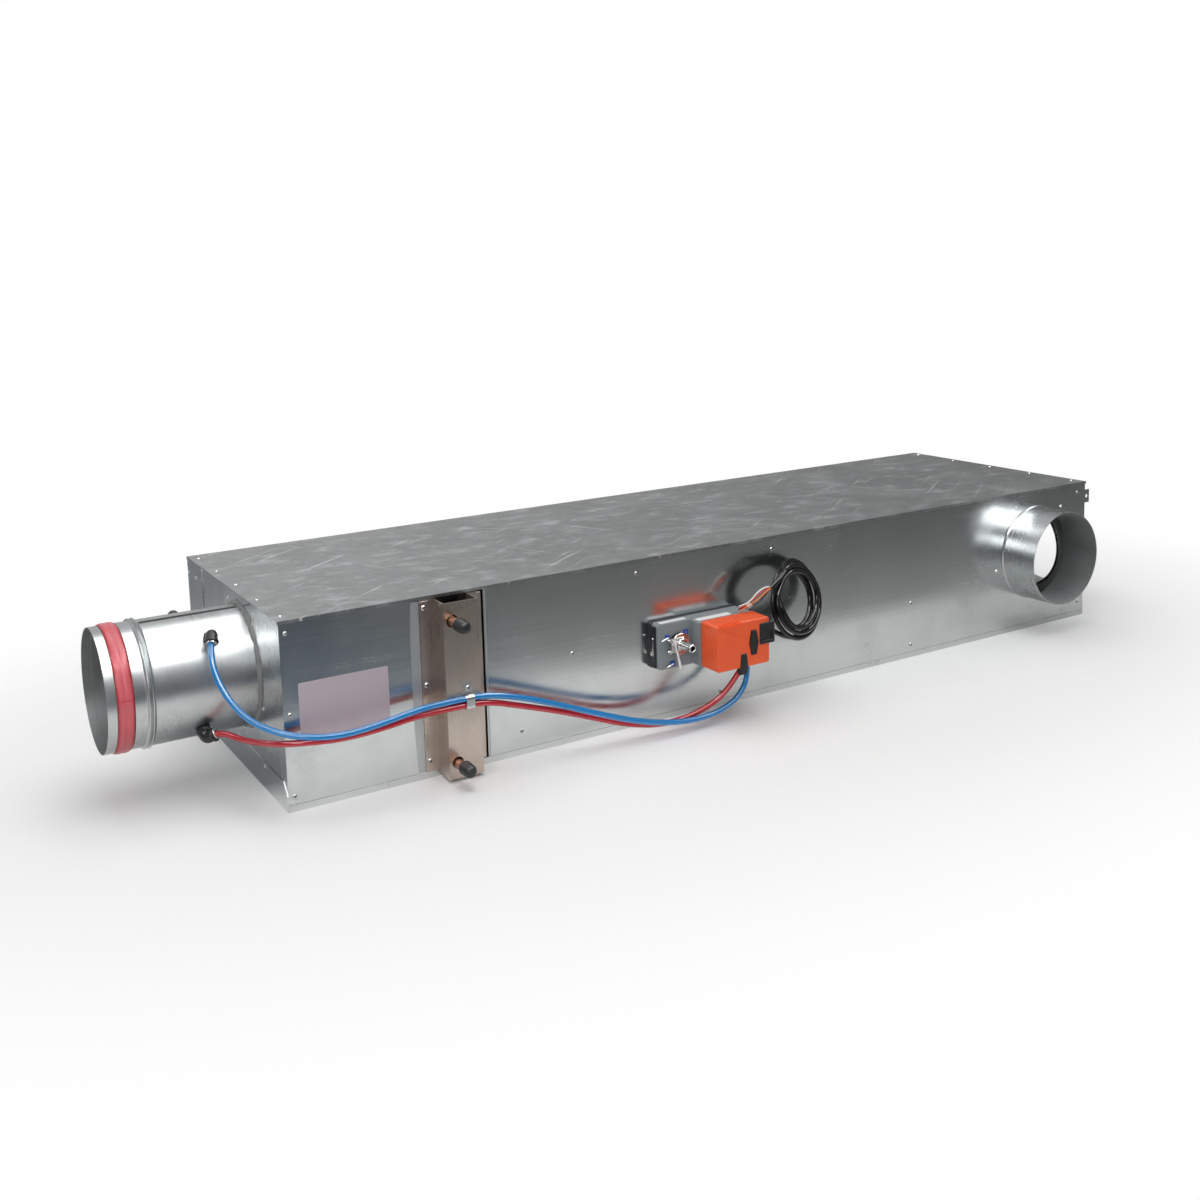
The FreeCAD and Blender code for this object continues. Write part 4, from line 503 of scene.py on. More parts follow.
# Each finish's maker and what it is given. A word in place of a colour is one of the settings' colours.
FINISHES = {
    "Cover Zinc": partial(sheet_metal, "zinc", (0.57, 0.83), 0.34, (5, 420, 420), 0.34, 0.7, scores=0.85,
                          rubbed=0.36),
    "Panel Zinc": partial(sheet_metal, "zinc", (0.95, 1.06), 0.19, (5, 300, 300), 0.12, 0.2, scores=0.06,
                          waves=22.0),
    "End Zinc": partial(sheet_metal, "zinc", (0.9, 1.05), 0.24, (300, 300, 5), 0.2, 0.3, scores=0.1),
    "Outlet Plate Zinc": partial(sheet_metal, "zinc", (0.8, 1.0), 0.4, (300, 300, 5), 0.2, 0.3, metallic=0.5),
    # The inlet duct's inside is darkened by a half share as painted shade.
    "Duct Zinc": partial(sheet_metal, "zinc", (0.74, 1.0), 0.3, (420, 14, 14), 0.3, 0.3,
                         duct=((0, 1, 1), (0, 0, 0), 0.1, 0.5)),
    "End Duct Zinc": partial(sheet_metal, "zinc", (0.92, 1.08), 0.26, (420, 14, 14), 0.22, 0.3,
                             duct=((0, 1, 1), (0, -0.029, -0.038), 0.6, 0.0)),
    "Cross Duct Zinc": partial(sheet_metal, "zinc", (0.92, 1.06), 0.26, (14, 420, 14), 0.22, 0.2,
                               strength=0.09, duct=((1, 0, 1), (1.507, 0, -0.013), 0.1, 0.0)),
    # The seam's near-black colour is painted shade for the lock seam's fold line.
    "Seam Painted Shade": partial(moulding, (0.012, 0.0125, 0.013), 0.7, 300.0, 0.1),
    "Edge Zinc": partial(sheet_metal, "zinc", (0.72, 0.9), 0.36, (300, 300, 5), 0.1, 0.2, metallic=0.7),
    "Brushed Stainless": partial(sheet_metal, "stainless", (0.9, 1.1), 0.28, (700, 700, 9), 0.05, 0.2,
                                 metallic=0.95, strength=0.07, scores=0.12),
    "Copper": partial(plated, (0.42, 0.20, 0.12), (0.74, 0.43, 0.30), 0.3),
    "Fin Aluminium": partial(plated, (0.55, 0.56, 0.57), (0.75, 0.76, 0.77), 0.4),
    "Bright Steel": partial(plated, (0.45, 0.45, 0.44), (0.78, 0.77, 0.75), 0.16),
    "Screw Steel": partial(plated, (0.28, 0.28, 0.28), (0.62, 0.62, 0.6), 0.24),
    "Rivet Aluminium": partial(plated, (0.5, 0.5, 0.5), (0.72, 0.72, 0.72), 0.3),
    "Black Rubber": partial(moulding, (0.012, 0.012, 0.013), 0.38, 700.0, 0.2),
    "Black Plastic": partial(moulding, (0.012, 0.012, 0.014), 0.34),
    "Grey Plastic": partial(moulding, "housing", 0.42, 1000.0, 0.3),
    "Orange Plastic": partial(moulding, "cover", 0.34, 1100.0, 0.3, 0.05, 0.15),
    "Blue Plastic": partial(moulding, (0.01, 0.05, 0.4), 0.3),
    "Blue Hose": partial(moulding, "low_hose", 0.12, 500.0, 0.02, 0.05, 0.7),
    "Red Hose": partial(moulding, "high_hose", 0.12, 500.0, 0.02, 0.05, 0.7),
    "Cable Sheath": partial(moulding, (0.003, 0.003, 0.0035), 0.13, 600.0, 0.03, 0.1),
    "White Wire": partial(moulding, (0.75, 0.73, 0.68), 0.35, 600.0, 0.08),
    "Red Wire": partial(moulding, (0.6, 0.03, 0.03), 0.35, 600.0, 0.08),
    "Orange Wire": partial(moulding, (0.75, 0.2, 0.03), 0.35, 600.0, 0.08),
    "Gasket": partial(gasket_rubber, "gasket"),
    "Sealant": partial(moulding, (0.2, 0.205, 0.2), 0.34, 220.0, 0.6, 0.3),
    "Label Film": partial(film, "label"),
    "Sticker Film": partial(film, (0.8, 0.8, 0.8)),
}


def finish(name):
    """The material of that name, made on first use."""
    return bpy.data.materials.get(name) or FINISHES[name](name=name)


NODE_FINISHES = {
    "Cover Zinc": "top_cover",
    "Panel Zinc": "bottom_tray rear_panel front_panel_left front_panel_main coil_front_sheet coil_rear_sheet "
                  "coil_side_plates damper_frame damper_blade nozzle_plate induction_grille air_baffle "
                  "hose_clip corner_lug",
    "End Zinc": "inlet_end_plate",
    "Outlet Plate Zinc": "outlet_end_plate",
    "Duct Zinc": "inlet_spigot",
    "End Duct Zinc": "outlet_spigot_end",
    "Cross Duct Zinc": "outlet_spigot_front",
    "Brushed Stainless": "coil_bracket",
    "Copper": "coil_tubes",
    "Fin Aluminium": "coil_fins measuring_tube_low measuring_tube_high",
    "Rivet Aluminium": "spigot_rivets",
    "Bright Steel": "damper_shaft blade_bolts spindle_clamp clamp_bolt position_pointer actuator_strap "
                    "cover_screws bracket_screws panel_screws",
    "Black Rubber": "pipe_caps blade_seals cable_gland",
    "Black Plastic": "elbow_low elbow_high tube_plugs shaft_bush_front shaft_bush_rear actuator_base "
                     "release_button service_socket port_high port_low nozzles",
    "Grey Plastic": "actuator_housing",
    "Orange Plastic": "actuator_cover",
    "Blue Plastic": "end_stops",
    "Blue Hose": "hose_low",
    "Red Hose": "hose_high",
    "Cable Sheath": "cable_lead cable_coil",
    "White Wire": "cable_wires",
    "Gasket": "inlet_gasket",
    "Sealant": "inlet_collar",
    "Label Film": "label_plate",
}

# Hoses and cable: the same control points as the solids' routes

BLUE_HOSE = [(-56.65, 89.08, 194.02), (-61.9, 76.9, 181.9), (-61, 59, 155), (-51, 40, 129), (-36, 17, 110),
             (-14, -6, 98.5), (18, -26.5, 90.5), (60, -38.5, 88), (110, -40, 93), (160, -38.8, 100.5),
             (205, -36.3, 100), (253, -36.3, 99), (302, -38.5, 86), (353, -43, 67), (410, -51, 44),
             (470, -58.5, 22), (535, -62, 7.5), (590, -61.5, 6.5), (630, -58, 16), (653, -53, 31),
             (662, -50, 50), (662, -50, 68.5)]
RED_HOSE = [(-60.16, 91.22, 75.78), (-51.5, 84, 78.5), (-37, 62, 73.5), (-28, 36, 76), (-20, 10, 80.5),
            (-4, -14, 84), (21, -27, 84.5), (60, -31.5, 81.5), (110, -33.5, 84), (160, -34.5, 90.5),
            (205, -36.3, 91), (253, -36.3, 90), (302, -38, 74), (353, -38, 57), (410, -40.5, 35),
            (465, -44, 14), (520, -46.5, 4), (560, -50, 8), (590, -58, 20), (614, -66.5, 39),
            (631.4, -71.3, 65)]
CABLE_EXIT, CABLE_END = (689.3, -38, 108), (704.5, -51.5, 169.5)
WIRE_ROUTE = [CABLE_END, (697.5, -50.5, 166), (684, -48, 157), (669, -45.2, 147.6), (655, -42.8, 143.5)]
# Each bared wire's colour, its start behind and above the cable's end, how far it bows up at its middle,
# and how far its bared end spreads
WIRES = (("White Wire", 0, 2.0, 8.0, 3.5), ("Red Wire", 1.6, 0.8, 3.0, 0.5),
         ("Orange Wire", 0, 0.2, -2.2, -2.5), ("Cable Sheath", 1.6, -0.6, -8.0, 1.2))
WIRE_BOW = (0, 0.6, 1, 0.12, 0)
COIL_CENTRE = np.array((759.5, -43.0, 142.0))
COIL_TURN, COIL_LEAN = math.radians(15), math.radians(13)
# Each turn's mean radius and its place across the coil's plane, and the angles where one passes to the next
TURN_SLOTS = ((50.0, -6.0), (42.5, -2.5), (43.5, 5.0), (51.0, 2.5), (56.5, -3.5))
TURN_CHANGES = (557.0, 898.0, 1240.0, 1592.0)
COIL_START, COIL_END = 222.0, 1904.0


def cable_route():
    """The cable's control points: out of the gland, then turn after turn round the coil's centre. The
    radius and the place across the plane step from slot to slot by smooth steps, and fan out on the right."""
    angle = np.linspace(COIL_START, COIL_END, 76)
    radius, across = (np.full(angle.shape, first) for first in TURN_SLOTS[0])
    for change, before, after in zip(TURN_CHANGES, TURN_SLOTS, TURN_SLOTS[1:]):
        step = np.clip((angle - change + 26) / 52, 0, 1)
        step = step * step * (3 - 2 * step)
        radius += step * (after[0] - before[0])
        across += step * (after[1] - before[1])
    start = np.clip((angle - COIL_START) / 75, 0, 1) ** 0.8
    radius = 60.5 + start * (radius - 60.5)
    across = -12 + start * (across + 12)
    turn = np.radians(angle)
    fan = 1.2 + 0.38 * np.cos(turn + 0.4)
    radius = (48.3 + (radius - 49.5) * fan + 1.0 * np.sin(2.3 * turn + 1) + 0.7 * np.sin(3.1 * turn)) / 0.985
    across = across * np.where(start < 1, 1, fan) + 0.9 * np.sin(1.7 * turn)
    right = np.array((math.cos(COIL_TURN), math.sin(COIL_TURN), 0))
    back = np.array((-math.sin(COIL_TURN), math.cos(COIL_TURN), 0))
    above = math.cos(COIL_LEAN) * UP[2] + math.sin(COIL_LEAN) * back
    normal = math.sin(COIL_LEAN) * UP[2] - math.cos(COIL_LEAN) * back
    turns = COIL_CENTRE + polar(radius, turn, across) @ np.stack([right, above, normal])
    return np.concatenate([[CABLE_EXIT, (698, -37.8, 108), (707, -40.5, 107.6)], turns,
                           [(733, -50.5, 189), (717, -54, 179), CABLE_END]])


def spline_length(cord):
    """Length of a cord's own line, read from its spline with no thickness."""
    depth = cord.data.bevel_depth
    cord.data.bevel_depth = 0
    line = bpy.data.meshes.new_from_object(cord)
    cord.data.bevel_depth = depth
    points = np.empty(len(line.vertices) * 3)
    line.vertices.foreach_get("co", points)
    bpy.data.meshes.remove(line)
    return float(np.linalg.norm(np.diff(points.reshape(-1, 3), axis=0), axis=1).sum())


# Settings

def length_setting(name, description, default, **limits):
    return FloatProperty(name=name, description=description, default=default, subtype="DISTANCE",
                         unit="LENGTH", **limits)


def colour_setting(name, description, default):
    return FloatVectorProperty(name=name, description=description, default=default, min=0, max=1, size=3,
                               subtype="COLOR")


class UnitSizes(bpy.types.PropertyGroup):
    hose: length_setting("Hose", "Radius of the pressure hoses", 0.004, min=0.002, max=0.006)
    cable: length_setting("Cable", "Radius of the actuator's cable", 0.0035, min=0.002, max=0.005)
    wire: length_setting("Wire", "Radius of the bared wires", 0.001, min=0.0005, max=0.0012)
    screw: length_setting("Screw head", "Radius of a pan head", 0.0029, min=0.002, max=0.004)
    floor: length_setting("Floor", "Height of the floor under the tray", -0.145)
    sheet_edge: length_setting("Pale sheet", "Pale floor in front of the casing", 0.27, min=0.1,
                               max=2.0)


class UnitFinishes(bpy.types.PropertyGroup):
    zinc: colour_setting("Zinc", "Galvanised sheet", (0.56, 0.58, 0.585))
    stainless: colour_setting("Stainless", "Coil bracket", (0.5, 0.43, 0.385))
    housing: colour_setting("Housing", "Actuator housing", (0.20, 0.225, 0.235))
    cover: colour_setting("Drive cover", "Actuator cover", (0.82, 0.096, 0.017))
    low_hose: colour_setting("Low hose", "Blue pressure hose", (0.0, 0.19, 0.5))
    high_hose: colour_setting("High hose", "Red pressure hose", (0.43, 0.0, 0.012))
    gasket: colour_setting("Gasket", "Spigot gasket", (0.62, 0.12, 0.14))
    label: colour_setting("Label", "Blank label", (0.45, 0.385, 0.425))


# Pieces

class UNIT_OT_finishes(bpy.types.Operator):
    """Builds the shared shader groups and gives each carried-over solid its finish"""
    bl_idname = "unit.finishes"
    bl_label = "Finishes"

    def execute(self, context):
        rolled_group()
        marks_group()
        grain_group()
        for name, nodes in NODE_FINISHES.items():
            for node in nodes.split():
                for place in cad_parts[node].material_slots:
                    place.material = finish(name)
        return {"FINISHED"}


class UNIT_OT_hoses(bpy.types.Operator):
    """Both pressure hoses, from the elbows on the inlet through the clip to the drive's ports"""
    bl_idname = "unit.hoses"
    bl_label = "Pressure Hoses"

    def execute(self, context):
        radius = context.scene.unit_sizes.hose
        for name, node, route, colour in (("low_pressure_hose", "hose_low", BLUE_HOSE, "Blue Hose"),
                                          ("high_pressure_hose", "hose_high", RED_HOSE, "Red Hose")):
            hose = settle(hose_curve(name, route, radius), colour, node)
            round(spline_length(hose), 3)
        return {"FINISHED"}


class UNIT_OT_cable(bpy.types.Operator):
    """The actuator's cable in its loose coil, with the bared wires twisted at its end"""
    bl_idname = "unit.cable"
    bl_label = "Cable"

    def execute(self, context):
        sizes = context.scene.unit_sizes
        for number, (colour, back, up, bow, end) in enumerate(WIRES):
            route = np.array(WIRE_ROUTE) + (0, back, up)
            route[:, 2] += bow * np.array(WIRE_BOW)
            route[-1] += (-0.4 * abs(end), 0, end)
            wire = hose_curve(f"bared_wire_{number + 1}", route, sizes.wire)
            settle(wire, colour, slot="wire")
        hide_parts("cable_wires")
        self.twist()
        cable = hose_curve("actuator_cable", cable_route(), sizes.cable)
        settle(cable, "Cable Sheath", "cable_lead", "cable_coil")
        round(spline_length(cable), 3)
        return {"FINISHED"}

    @staticmethod
    def twist():
        """White wire wound three times round the others: a helix about their direction."""
        turn = np.linspace(0, 6 * np.pi, 60)[:, None]
        ahead = np.array((-0.83, 0.14, -0.54))
        side = unit(np.cross(ahead, (0, 1, 0)))
        out = np.cos(turn) * side + np.sin(turn) * np.cross(ahead, side)
        path = np.array((673, -45.0, 149.6)) + turn / turn[-1] * 7 * ahead + 3.0 * out
        across = np.cross(unit(np.gradient(path, axis=0)), out)
        return build("wire_twist", "White Wire", [tube(path, 0.85, out, across, 14)])


class UNIT_OT_spigots(bpy.types.Operator):
    """Inlet spigot with its gasket and sealant, and both outlet spigots"""
    bl_idname = "unit.spigots"
    bl_label = "Duct Spigots"

    def execute(self, context):
        along = np.concatenate([np.linspace(0, 11, 8), np.linspace(11.6, 31.4, 6), np.linspace(32, 44, 6),
                                np.linspace(45, 57, 25), np.linspace(60, 188, 30)])
        groove = 1.2 * ((along > 11.3) & (along < 31.7))
        swell = bump_between(along, 45.6, 51.2, 3.0) + bump_between(along, 50.8, 56.4, 3.0)
        outer = np.column_stack([INLET_REACH - along, DUCT - groove + swell])
        inner = np.column_stack([INLET_REACH - along, DUCT_BORE - groove + swell])[::-1]
        duct = lathe(np.concatenate([outer, inner]), 144)
        self.inlet_piece("inlet_duct", "Duct Zinc", duct, "inlet_spigot")
        side, start, wide, foot = np.linspace(0, 1, 25), 11.9, 19.2, DUCT - 1.1
        crest = foot + 1.7 + 2.0 * np.sin(np.pi * side) ** 0.6 - 0.9 * np.exp(-((side - 0.5) / 0.09) ** 2)
        top = np.column_stack([INLET_REACH - start - wide * side, crest])
        seal = np.concatenate([top, ((INLET_REACH - start - wide, foot), (INLET_REACH - start, foot))])
        self.inlet_piece("inlet_seal", "Gasket", lathe(seal, 144), "inlet_gasket")
        # The seam rib is near black, as painted shade along its fold.
        self.inlet_piece("duct_seam", "Seam Painted Shade", self.seam())
        self.inlet_piece("sealant_bead", "Sealant", self.collar(), "inlet_collar")
        for name, node, reach, place, turn, zinc in (
                ("front_outlet_duct", "outlet_spigot_front", 65, (OUTLET_AXIS[0], 0, OUTLET_AXIS[1]),
                 TO_FRONT, "Cross Duct Zinc"),
                ("end_outlet_duct", "outlet_spigot_end", 60, (CASING_LONG, *END_AXIS), TO_OUTLET,
                 "End Duct Zinc")):
            build(name, zinc, [seated(self.outlet(reach), place, turn)], node)
        return {"FINISHED"}

    @staticmethod
    def inlet_piece(name, material, part, *nodes):
        build(name, material, [seated(part, (0, *INLET_AXIS), TO_INLET)], *nodes)

    @staticmethod
    def outlet(reach):
        """Bead against the panel and a plain rim; a flange behind the panel."""
        along = np.linspace(0, reach, 70)
        swell = 1.1 * np.exp(-(along / 1.3) ** 2)
        outer = np.column_stack([along, DUCT + swell])
        inner = np.column_stack([along, DUCT_BORE + swell * (along > 10)])[::-1]
        back = ((-2.0, DUCT_BORE), (-2.0, DUCT + 4), (-1.1, DUCT + 4), (-1.1, DUCT), (-0.1, DUCT))
        return lathe(np.concatenate([outer, inner, back]), 144)

    @staticmethod
    def seam():
        """Lock seam along the top of the duct: a low rounded rib with a fold line on its front side."""
        along, across = np.meshgrid(np.linspace(5.5, 126.5, 40), np.linspace(-1, 1, 13), indexing="ij")
        rise = 0.75 * (1 - np.abs(across) ** 3) - 0.35 * np.exp(-((across + 0.45) / 0.16) ** 2)
        turn = math.radians(85) + across * 3.4 / DUCT
        under = polar(DUCT - 0.4, turn, along)[:, ::-1]
        return capped(np.concatenate([polar(DUCT - 0.05 + rise, turn, along), under], 1))

    @staticmethod
    def collar():
        """Sealant laid by hand: a quarter-round bead whose radius and width swell and fall round the duct."""
        turn, angle = full_turn(240), quarter(9)[:, None]
        wave = 0.5 * np.sin(7 * turn + 1) + 0.4 * np.sin(19 * turn) + 0.3 * np.sin(37 * turn + 2)
        size = 5.0 + 1.5 * wave
        rows = polar(DUCT + 0.1 + size * np.cos(angle), turn, 0.05 + 0.72 * size * np.sin(angle))
        inside = polar(DUCT + 0.1, turn, 0.05)
        return shell(np.concatenate([rows, inside[None]]), round_rows=True)


def on_inlet(x, angle, swing=0.0):
    """Place and turn of a piece on the inlet spigot: its Z points out at an angle above the front, and its X
    is swung from the axis."""
    turn = np.array(Matrix.Rotation(math.radians(90 - angle), 3, "X")
                    @ Matrix.Rotation(math.radians(swing), 3, "Z"))
    return (x, *INLET_AXIS) + turn[:, 2] * DUCT, turn


class UNIT_OT_elbows(bpy.types.Operator):
    """Push-in elbows for the hoses and the plugs on the far ends of the measuring tubes"""
    bl_idname = "unit.elbows"
    bl_label = "Elbows and Plugs"

    def execute(self, context):
        bend = quarter(14)
        steps = (7.4, 8.6, 9.9, 10.1, 11.2, 13.2, 13.9, 14.1, 15.2, 15.9)
        path = np.concatenate([[(0, 0, z) for z in np.linspace(1, 8.4, 4)],
                               np.stack([6.5 - 6.5 * np.cos(bend), 0 * bend, 8.5 + 6.5 * np.sin(bend)], -1),
                               [(x, 0, 15) for x in steps]])
        radius = np.concatenate([np.full(4, 7.6), np.linspace(7.6, 6.9, 14),
                                 (6.9, 6.9, 7.0, 8.6, 9.2, 9.2, 8.6, 6.4, 6.1, 5.6)])
        nut = hexagons((9.2, 0.6), (9.9, 1.2), (9.9, 6.2), (9.0, 7.2))
        body = [sweep(path, radius, (0, -1, 0), 32), nut]
        ring = lathe([(14.6, 4.2), (14.6, 7.2), (15.0, 7.5), (15.8, 7.5), (16.2, 7.1), (16.2, 4.2)], 48)
        for name, node, x, angle, swing in (("low_elbow", "elbow_low", -53, 45, -107),
                                            ("high_elbow", "elbow_high", -69, -45, 45)):
            spot = on_inlet(x, angle, swing)
            build(name, "Black Plastic", [seated(part, *spot) for part in body], node)
            build(f"{name}_ring", "Bright Steel", [seated(seated(ring, (0, 0, 15), LYING), *spot)])
        dome = [(7 + 8.6 * math.sin(a), 7.8 * math.cos(a)) for a in quarter(10)]
        cap = lathe([(0.6, 0), (0.6, 7.8), *dome], 40, ends=True)
        plugs = [seated(part, *on_inlet(x, angle)) for x, angle in ((-53, 225), (-69, 135))
                 for part in (cap, nut)]
        build("tube_plug_pair", "Black Plastic", plugs, "tube_plugs")
        return {"FINISHED"}


class UNIT_OT_coil_ends(bpy.types.Operator):
    """Rubber caps over the coil's copper stubs, and the hemmed edges beside the coil's slot"""
    bl_idname = "unit.coil_ends"
    bl_label = "Pipe Caps"

    def execute(self, context):
        profile = [(-19, 0), (-19, 8.6), (-18.4, 9.1), (-12, 9.1), (-11.2, 8.7), (-2.4, 8.5), (-1.9, 8.2)]
        profile += [(-1.6 + 5.4 * math.sin(a), 8.0 * math.cos(a)) for a in quarter(10)]
        cap = lathe(profile, 48, ends=True)
        build("pipe_end_caps", "Black Rubber", [seated(cap, (212, -70, z), TO_FRONT) for z in (16.0, 202.0)],
              "pipe_caps")
        hems = [block(rounded(12, 224, 0.8, 4) + (186.8, 113), 1.55, 2.3, 0.5),
                block(rounded(8.2, 224, 0.6, 4) + (263.2, 113), 0.1, 1.5, 0.5)]
        build("bracket_hems", "Brushed Stainless", [front(hem) for hem in hems])
        build("panel_edge_strip", "Edge Zinc", [self.strip()])
        build("panel_fold", "Edge Zinc", [self.fold()])
        return {"FINISHED"}

    @staticmethod
    def strip():
        """Strip at the left panel's edge: a waisted sheet that steps 1.5 mm out over the joggle."""
        x, z = np.meshgrid(np.linspace(0, 1, 17), np.linspace(1, 225.5, 60), indexing="ij")
        left, right, joggle = 167.6 + 2.6 * np.abs(2 * z / 226 - 1.1) ** 3, 179.9, 1.5
        across = right - left
        x = left + across * x
        step = joggle * np.clip((x - 168) / 12, 0, 1)
        face = np.stack([x, -0.1 - step - 0.25 * np.sin(np.pi * (x - left) / across), z], -1)
        back = np.stack([x, 0.05 - step, z], -1)[::-1]
        return capped(np.concatenate([face, back], 0).transpose(1, 0, 2))

    @staticmethod
    def fold():
        """Main panel's edge turned back into the slot, with a rounded corner."""
        turn = quarter(7)
        corner = np.stack([272.4 - 1.4 * np.cos(turn), 1.3 - 1.4 * np.sin(turn)], -1)
        path = np.concatenate([[(271.0, 6.0)], corner,
                               [(274.5, -0.1), (274.5, 0.1), (272.6, 0.3), (271.3, 6.0)]])
        return capped([np.column_stack([path, np.full(len(path), level)]) for level in (0.5, 229.0)])


class UNIT_OT_drive(bpy.types.Operator):
    """Actuator: grey housing, orange cover, socket, ports, gland, stops and stickers"""
    bl_idname = "unit.drive"
    bl_label = "Actuator"

    def execute(self, context):
        self.housing()
        self.cover()
        self.fittings()
        return {"FINISHED"}

    @staticmethod
    def housing():
        """Low end with a round recess about the shaft, and the taller body behind the cover."""
        outline = spaced(rounded(152, 66, 6, 8), 4) + (604, 105)
        way = unit(outline - SHAFT)
        face, floor = 22.0, 18.2
        mouth, wall, bore = SHAFT + 15 * way, SHAFT + 14.7 * way, SHAFT + 8 * way
        low = stack([(outline, 5.0), *edge_rings(outline, face, 1.2), (mouth, face), (wall, 21.6), (wall, floor),
                     (bore, floor), (bore, 12.0)])
        tall = block(rounded(96, 64, 2.5, 5) + (632, 105), 21, 42, 0.8)
        build("gear_housing", "Grey Plastic", [front(low), front(tall)], "actuator_housing")
        pad = block(rounded(120, 66, 4, 6) + (586, 105), 0.2, 5.0, 0.5)
        lip = block(rounded(1.6, 60, 0.6, 3) + (527.2, 104.5), 4.6, 17.6, 0.6)
        build("drive_pad", "Black Plastic", [front(pad), front(lip)], "actuator_base")
        # A thin black ring on the recess floor about the shaft, as painted shade in the recess.
        ring = lathe([(18.3, 8.2), (18.3, 14.6), (18.9, 14.6), (18.9, 8.2)], 64)
        build("recess_shade_ring", "Black Plastic", [seated(ring, (SHAFT[0], 0, SHAFT[1]), TO_FRONT)])
        strap = block(rounded(0.7, 20, 0.3, 3) + (526.1, 101), 10.5, 12.2, 0.3)
        foot = block(rounded(0.7, 6, 0.3, 3) + (526.1, 94), 5.1, 11, 0.3)
        screw = seated(head(1.7, 1.0), (526.5, -11, 116), TO_INLET)
        build("drive_strap", "Bright Steel", [front(strap), front(foot), screw], "actuator_strap")

    @staticmethod
    def cover():
        """Drafted cover with a rounded front edge and a seat for the button. Five grip scallops are cut into
        its top front edge: a saw-tooth along X, deepening towards the front."""
        outline = spaced(rounded(92, 67, 4, 8), 0.5) + (634, 105)
        along, level = outline.T
        scallop = 3.0 * ((along - 591) / 7.6 % 1) ** 1.5 * ((along > 591) & (along < 629) & (level > 138.4))
        draft = 0.4
        sunk = (draft + scallop)[:, None]
        side, way = np.abs(outline - BUTTON).T
        half_wide, half_tall, narrower = 8.2, 18.2, 3.6
        reach = half_tall / np.maximum(way, 1e-6)
        slope = half_wide * half_tall / np.maximum(side * half_tall + way * narrower, 1e-6)
        seat = (outline - BUTTON) * np.minimum(reach, slope)[:, None]
        rings = [(outline, 42.2), (inset(outline, 0.1), 46), (inset(outline, 0.3), 62)]
        rings += [(inset(outline, draft + scallop[:, None] * share), 62 + 14.6 * share)
                  for share in (0.3, 0.6, 0.85, 1)]
        rings += edge_rings(outline, COVER_FACE, 1.6, 6, sunk)
        rings += [(inset(outline, 2.2 + sunk), COVER_FACE), (BUTTON + seat * 1.06, COVER_FACE),
                  (BUTTON + seat, COVER_FACE), (BUTTON + seat * 0.98, 78.6), (BUTTON + seat * 0.98, 71.4)]
        build("drive_cover", "Orange Plastic", [front(stack(rings))], "actuator_cover")
        shape = ((-4.0, -17.4), (4.0, -17.4), (7.4, 0), (4.0, 17.4), (-4.0, 17.4), (-7.4, 0))
        press = block(divided(shape, 8) + BUTTON, 74.2, 81.4, 0.9)
        build("gear_button", "Black Plastic", [front(press)], "release_button", body="button")

    @staticmethod
    def fittings():
        """Socket, ports with their sleeves, cable gland, stops with set screws and two blank stickers."""
        outline, dip = rounded(26, 31, 2, 6) + (675, 115.5), rounded(16, 14, 1, 6) + (675, 112)
        face, floor = 81, 79.5
        socket = [(outline, 58), *edge_rings(outline, face, 1.2), (inset(outline, 1.56), face),
                  (inset(dip, -0.4), face), (dip, face), (inset(dip, 0.3), face - 0.3),
                  (inset(dip, 0.4), floor), (inset(dip, 0.7), floor)]
        build("tool_socket", "Black Plastic", [front(stack(socket))], "service_socket")
        notch = divided(((-7, 62), (5, 62), (7, 71.5), (5, 92), (-5, 92), (-7, 71.5)), 6) + (634, 0)
        build("high_port", "Black Plastic", [front(block(notch, 72, 80.5, 1.6))], "port_high")
        foot = block(rounded(16, 14, 3, 6) + (662, -50), 66, 71.5, 0.6, edge_low=1.2)
        build("low_port", "Black Plastic", [foot], "port_low")
        along = np.linspace(0, 12, 40)
        radius = 6.4 - 0.16 * along - 0.55 * ((along * 0.5) % 1 > 0.55) * (along > 3)
        gland = lathe(np.concatenate([[(0, 0)], np.column_stack([along, radius]), [(12, 0)]]), 40, ends=True)
        build("cable_sleeve", "Black Rubber", [seated(gland, (680, -38, 108), TO_OUTLET)], "cable_gland")
        pin = lathe([(24, 0), (24, 1.5), (24.9, 1.5), (25.1, 1.2), (25.1, 0)], 20, ends=True)
        stop = block(rounded(7, 7, 0.8, 3), 21.9, 24.5, 0.5)
        places = [(574.5, 0, 121), (543, 0, 118), (551, 0, 79)]
        build("stop_blocks", "Blue Plastic", [seated(stop, place, TO_FRONT) for place in places], "end_stops")
        build("stop_pins", "Bright Steel", [seated(pin, place, TO_FRONT) for place in places])
        build("blank_stickers", "Sticker Film",
              [block(rounded(wide, deep, 0.8, 3) + (x, y), level - 0.6, level + 0.12, 0.1, 2)
               for x, y, wide, deep, level in ((557, -14, 44, 9, 138), (618, -29, 58, 12, 137))])
        bar = [(-11 * away, -24.9, -3.6 * away) for away in np.linspace(1, 0, 5)]
        bar = sweep(bar, (1.0, 1.25, 1.25, 1.25, 1.25), (0, 1, 0), 14)
        build("stop_screws", "Bright Steel", [seated(bar, place) for place in places[1:]])


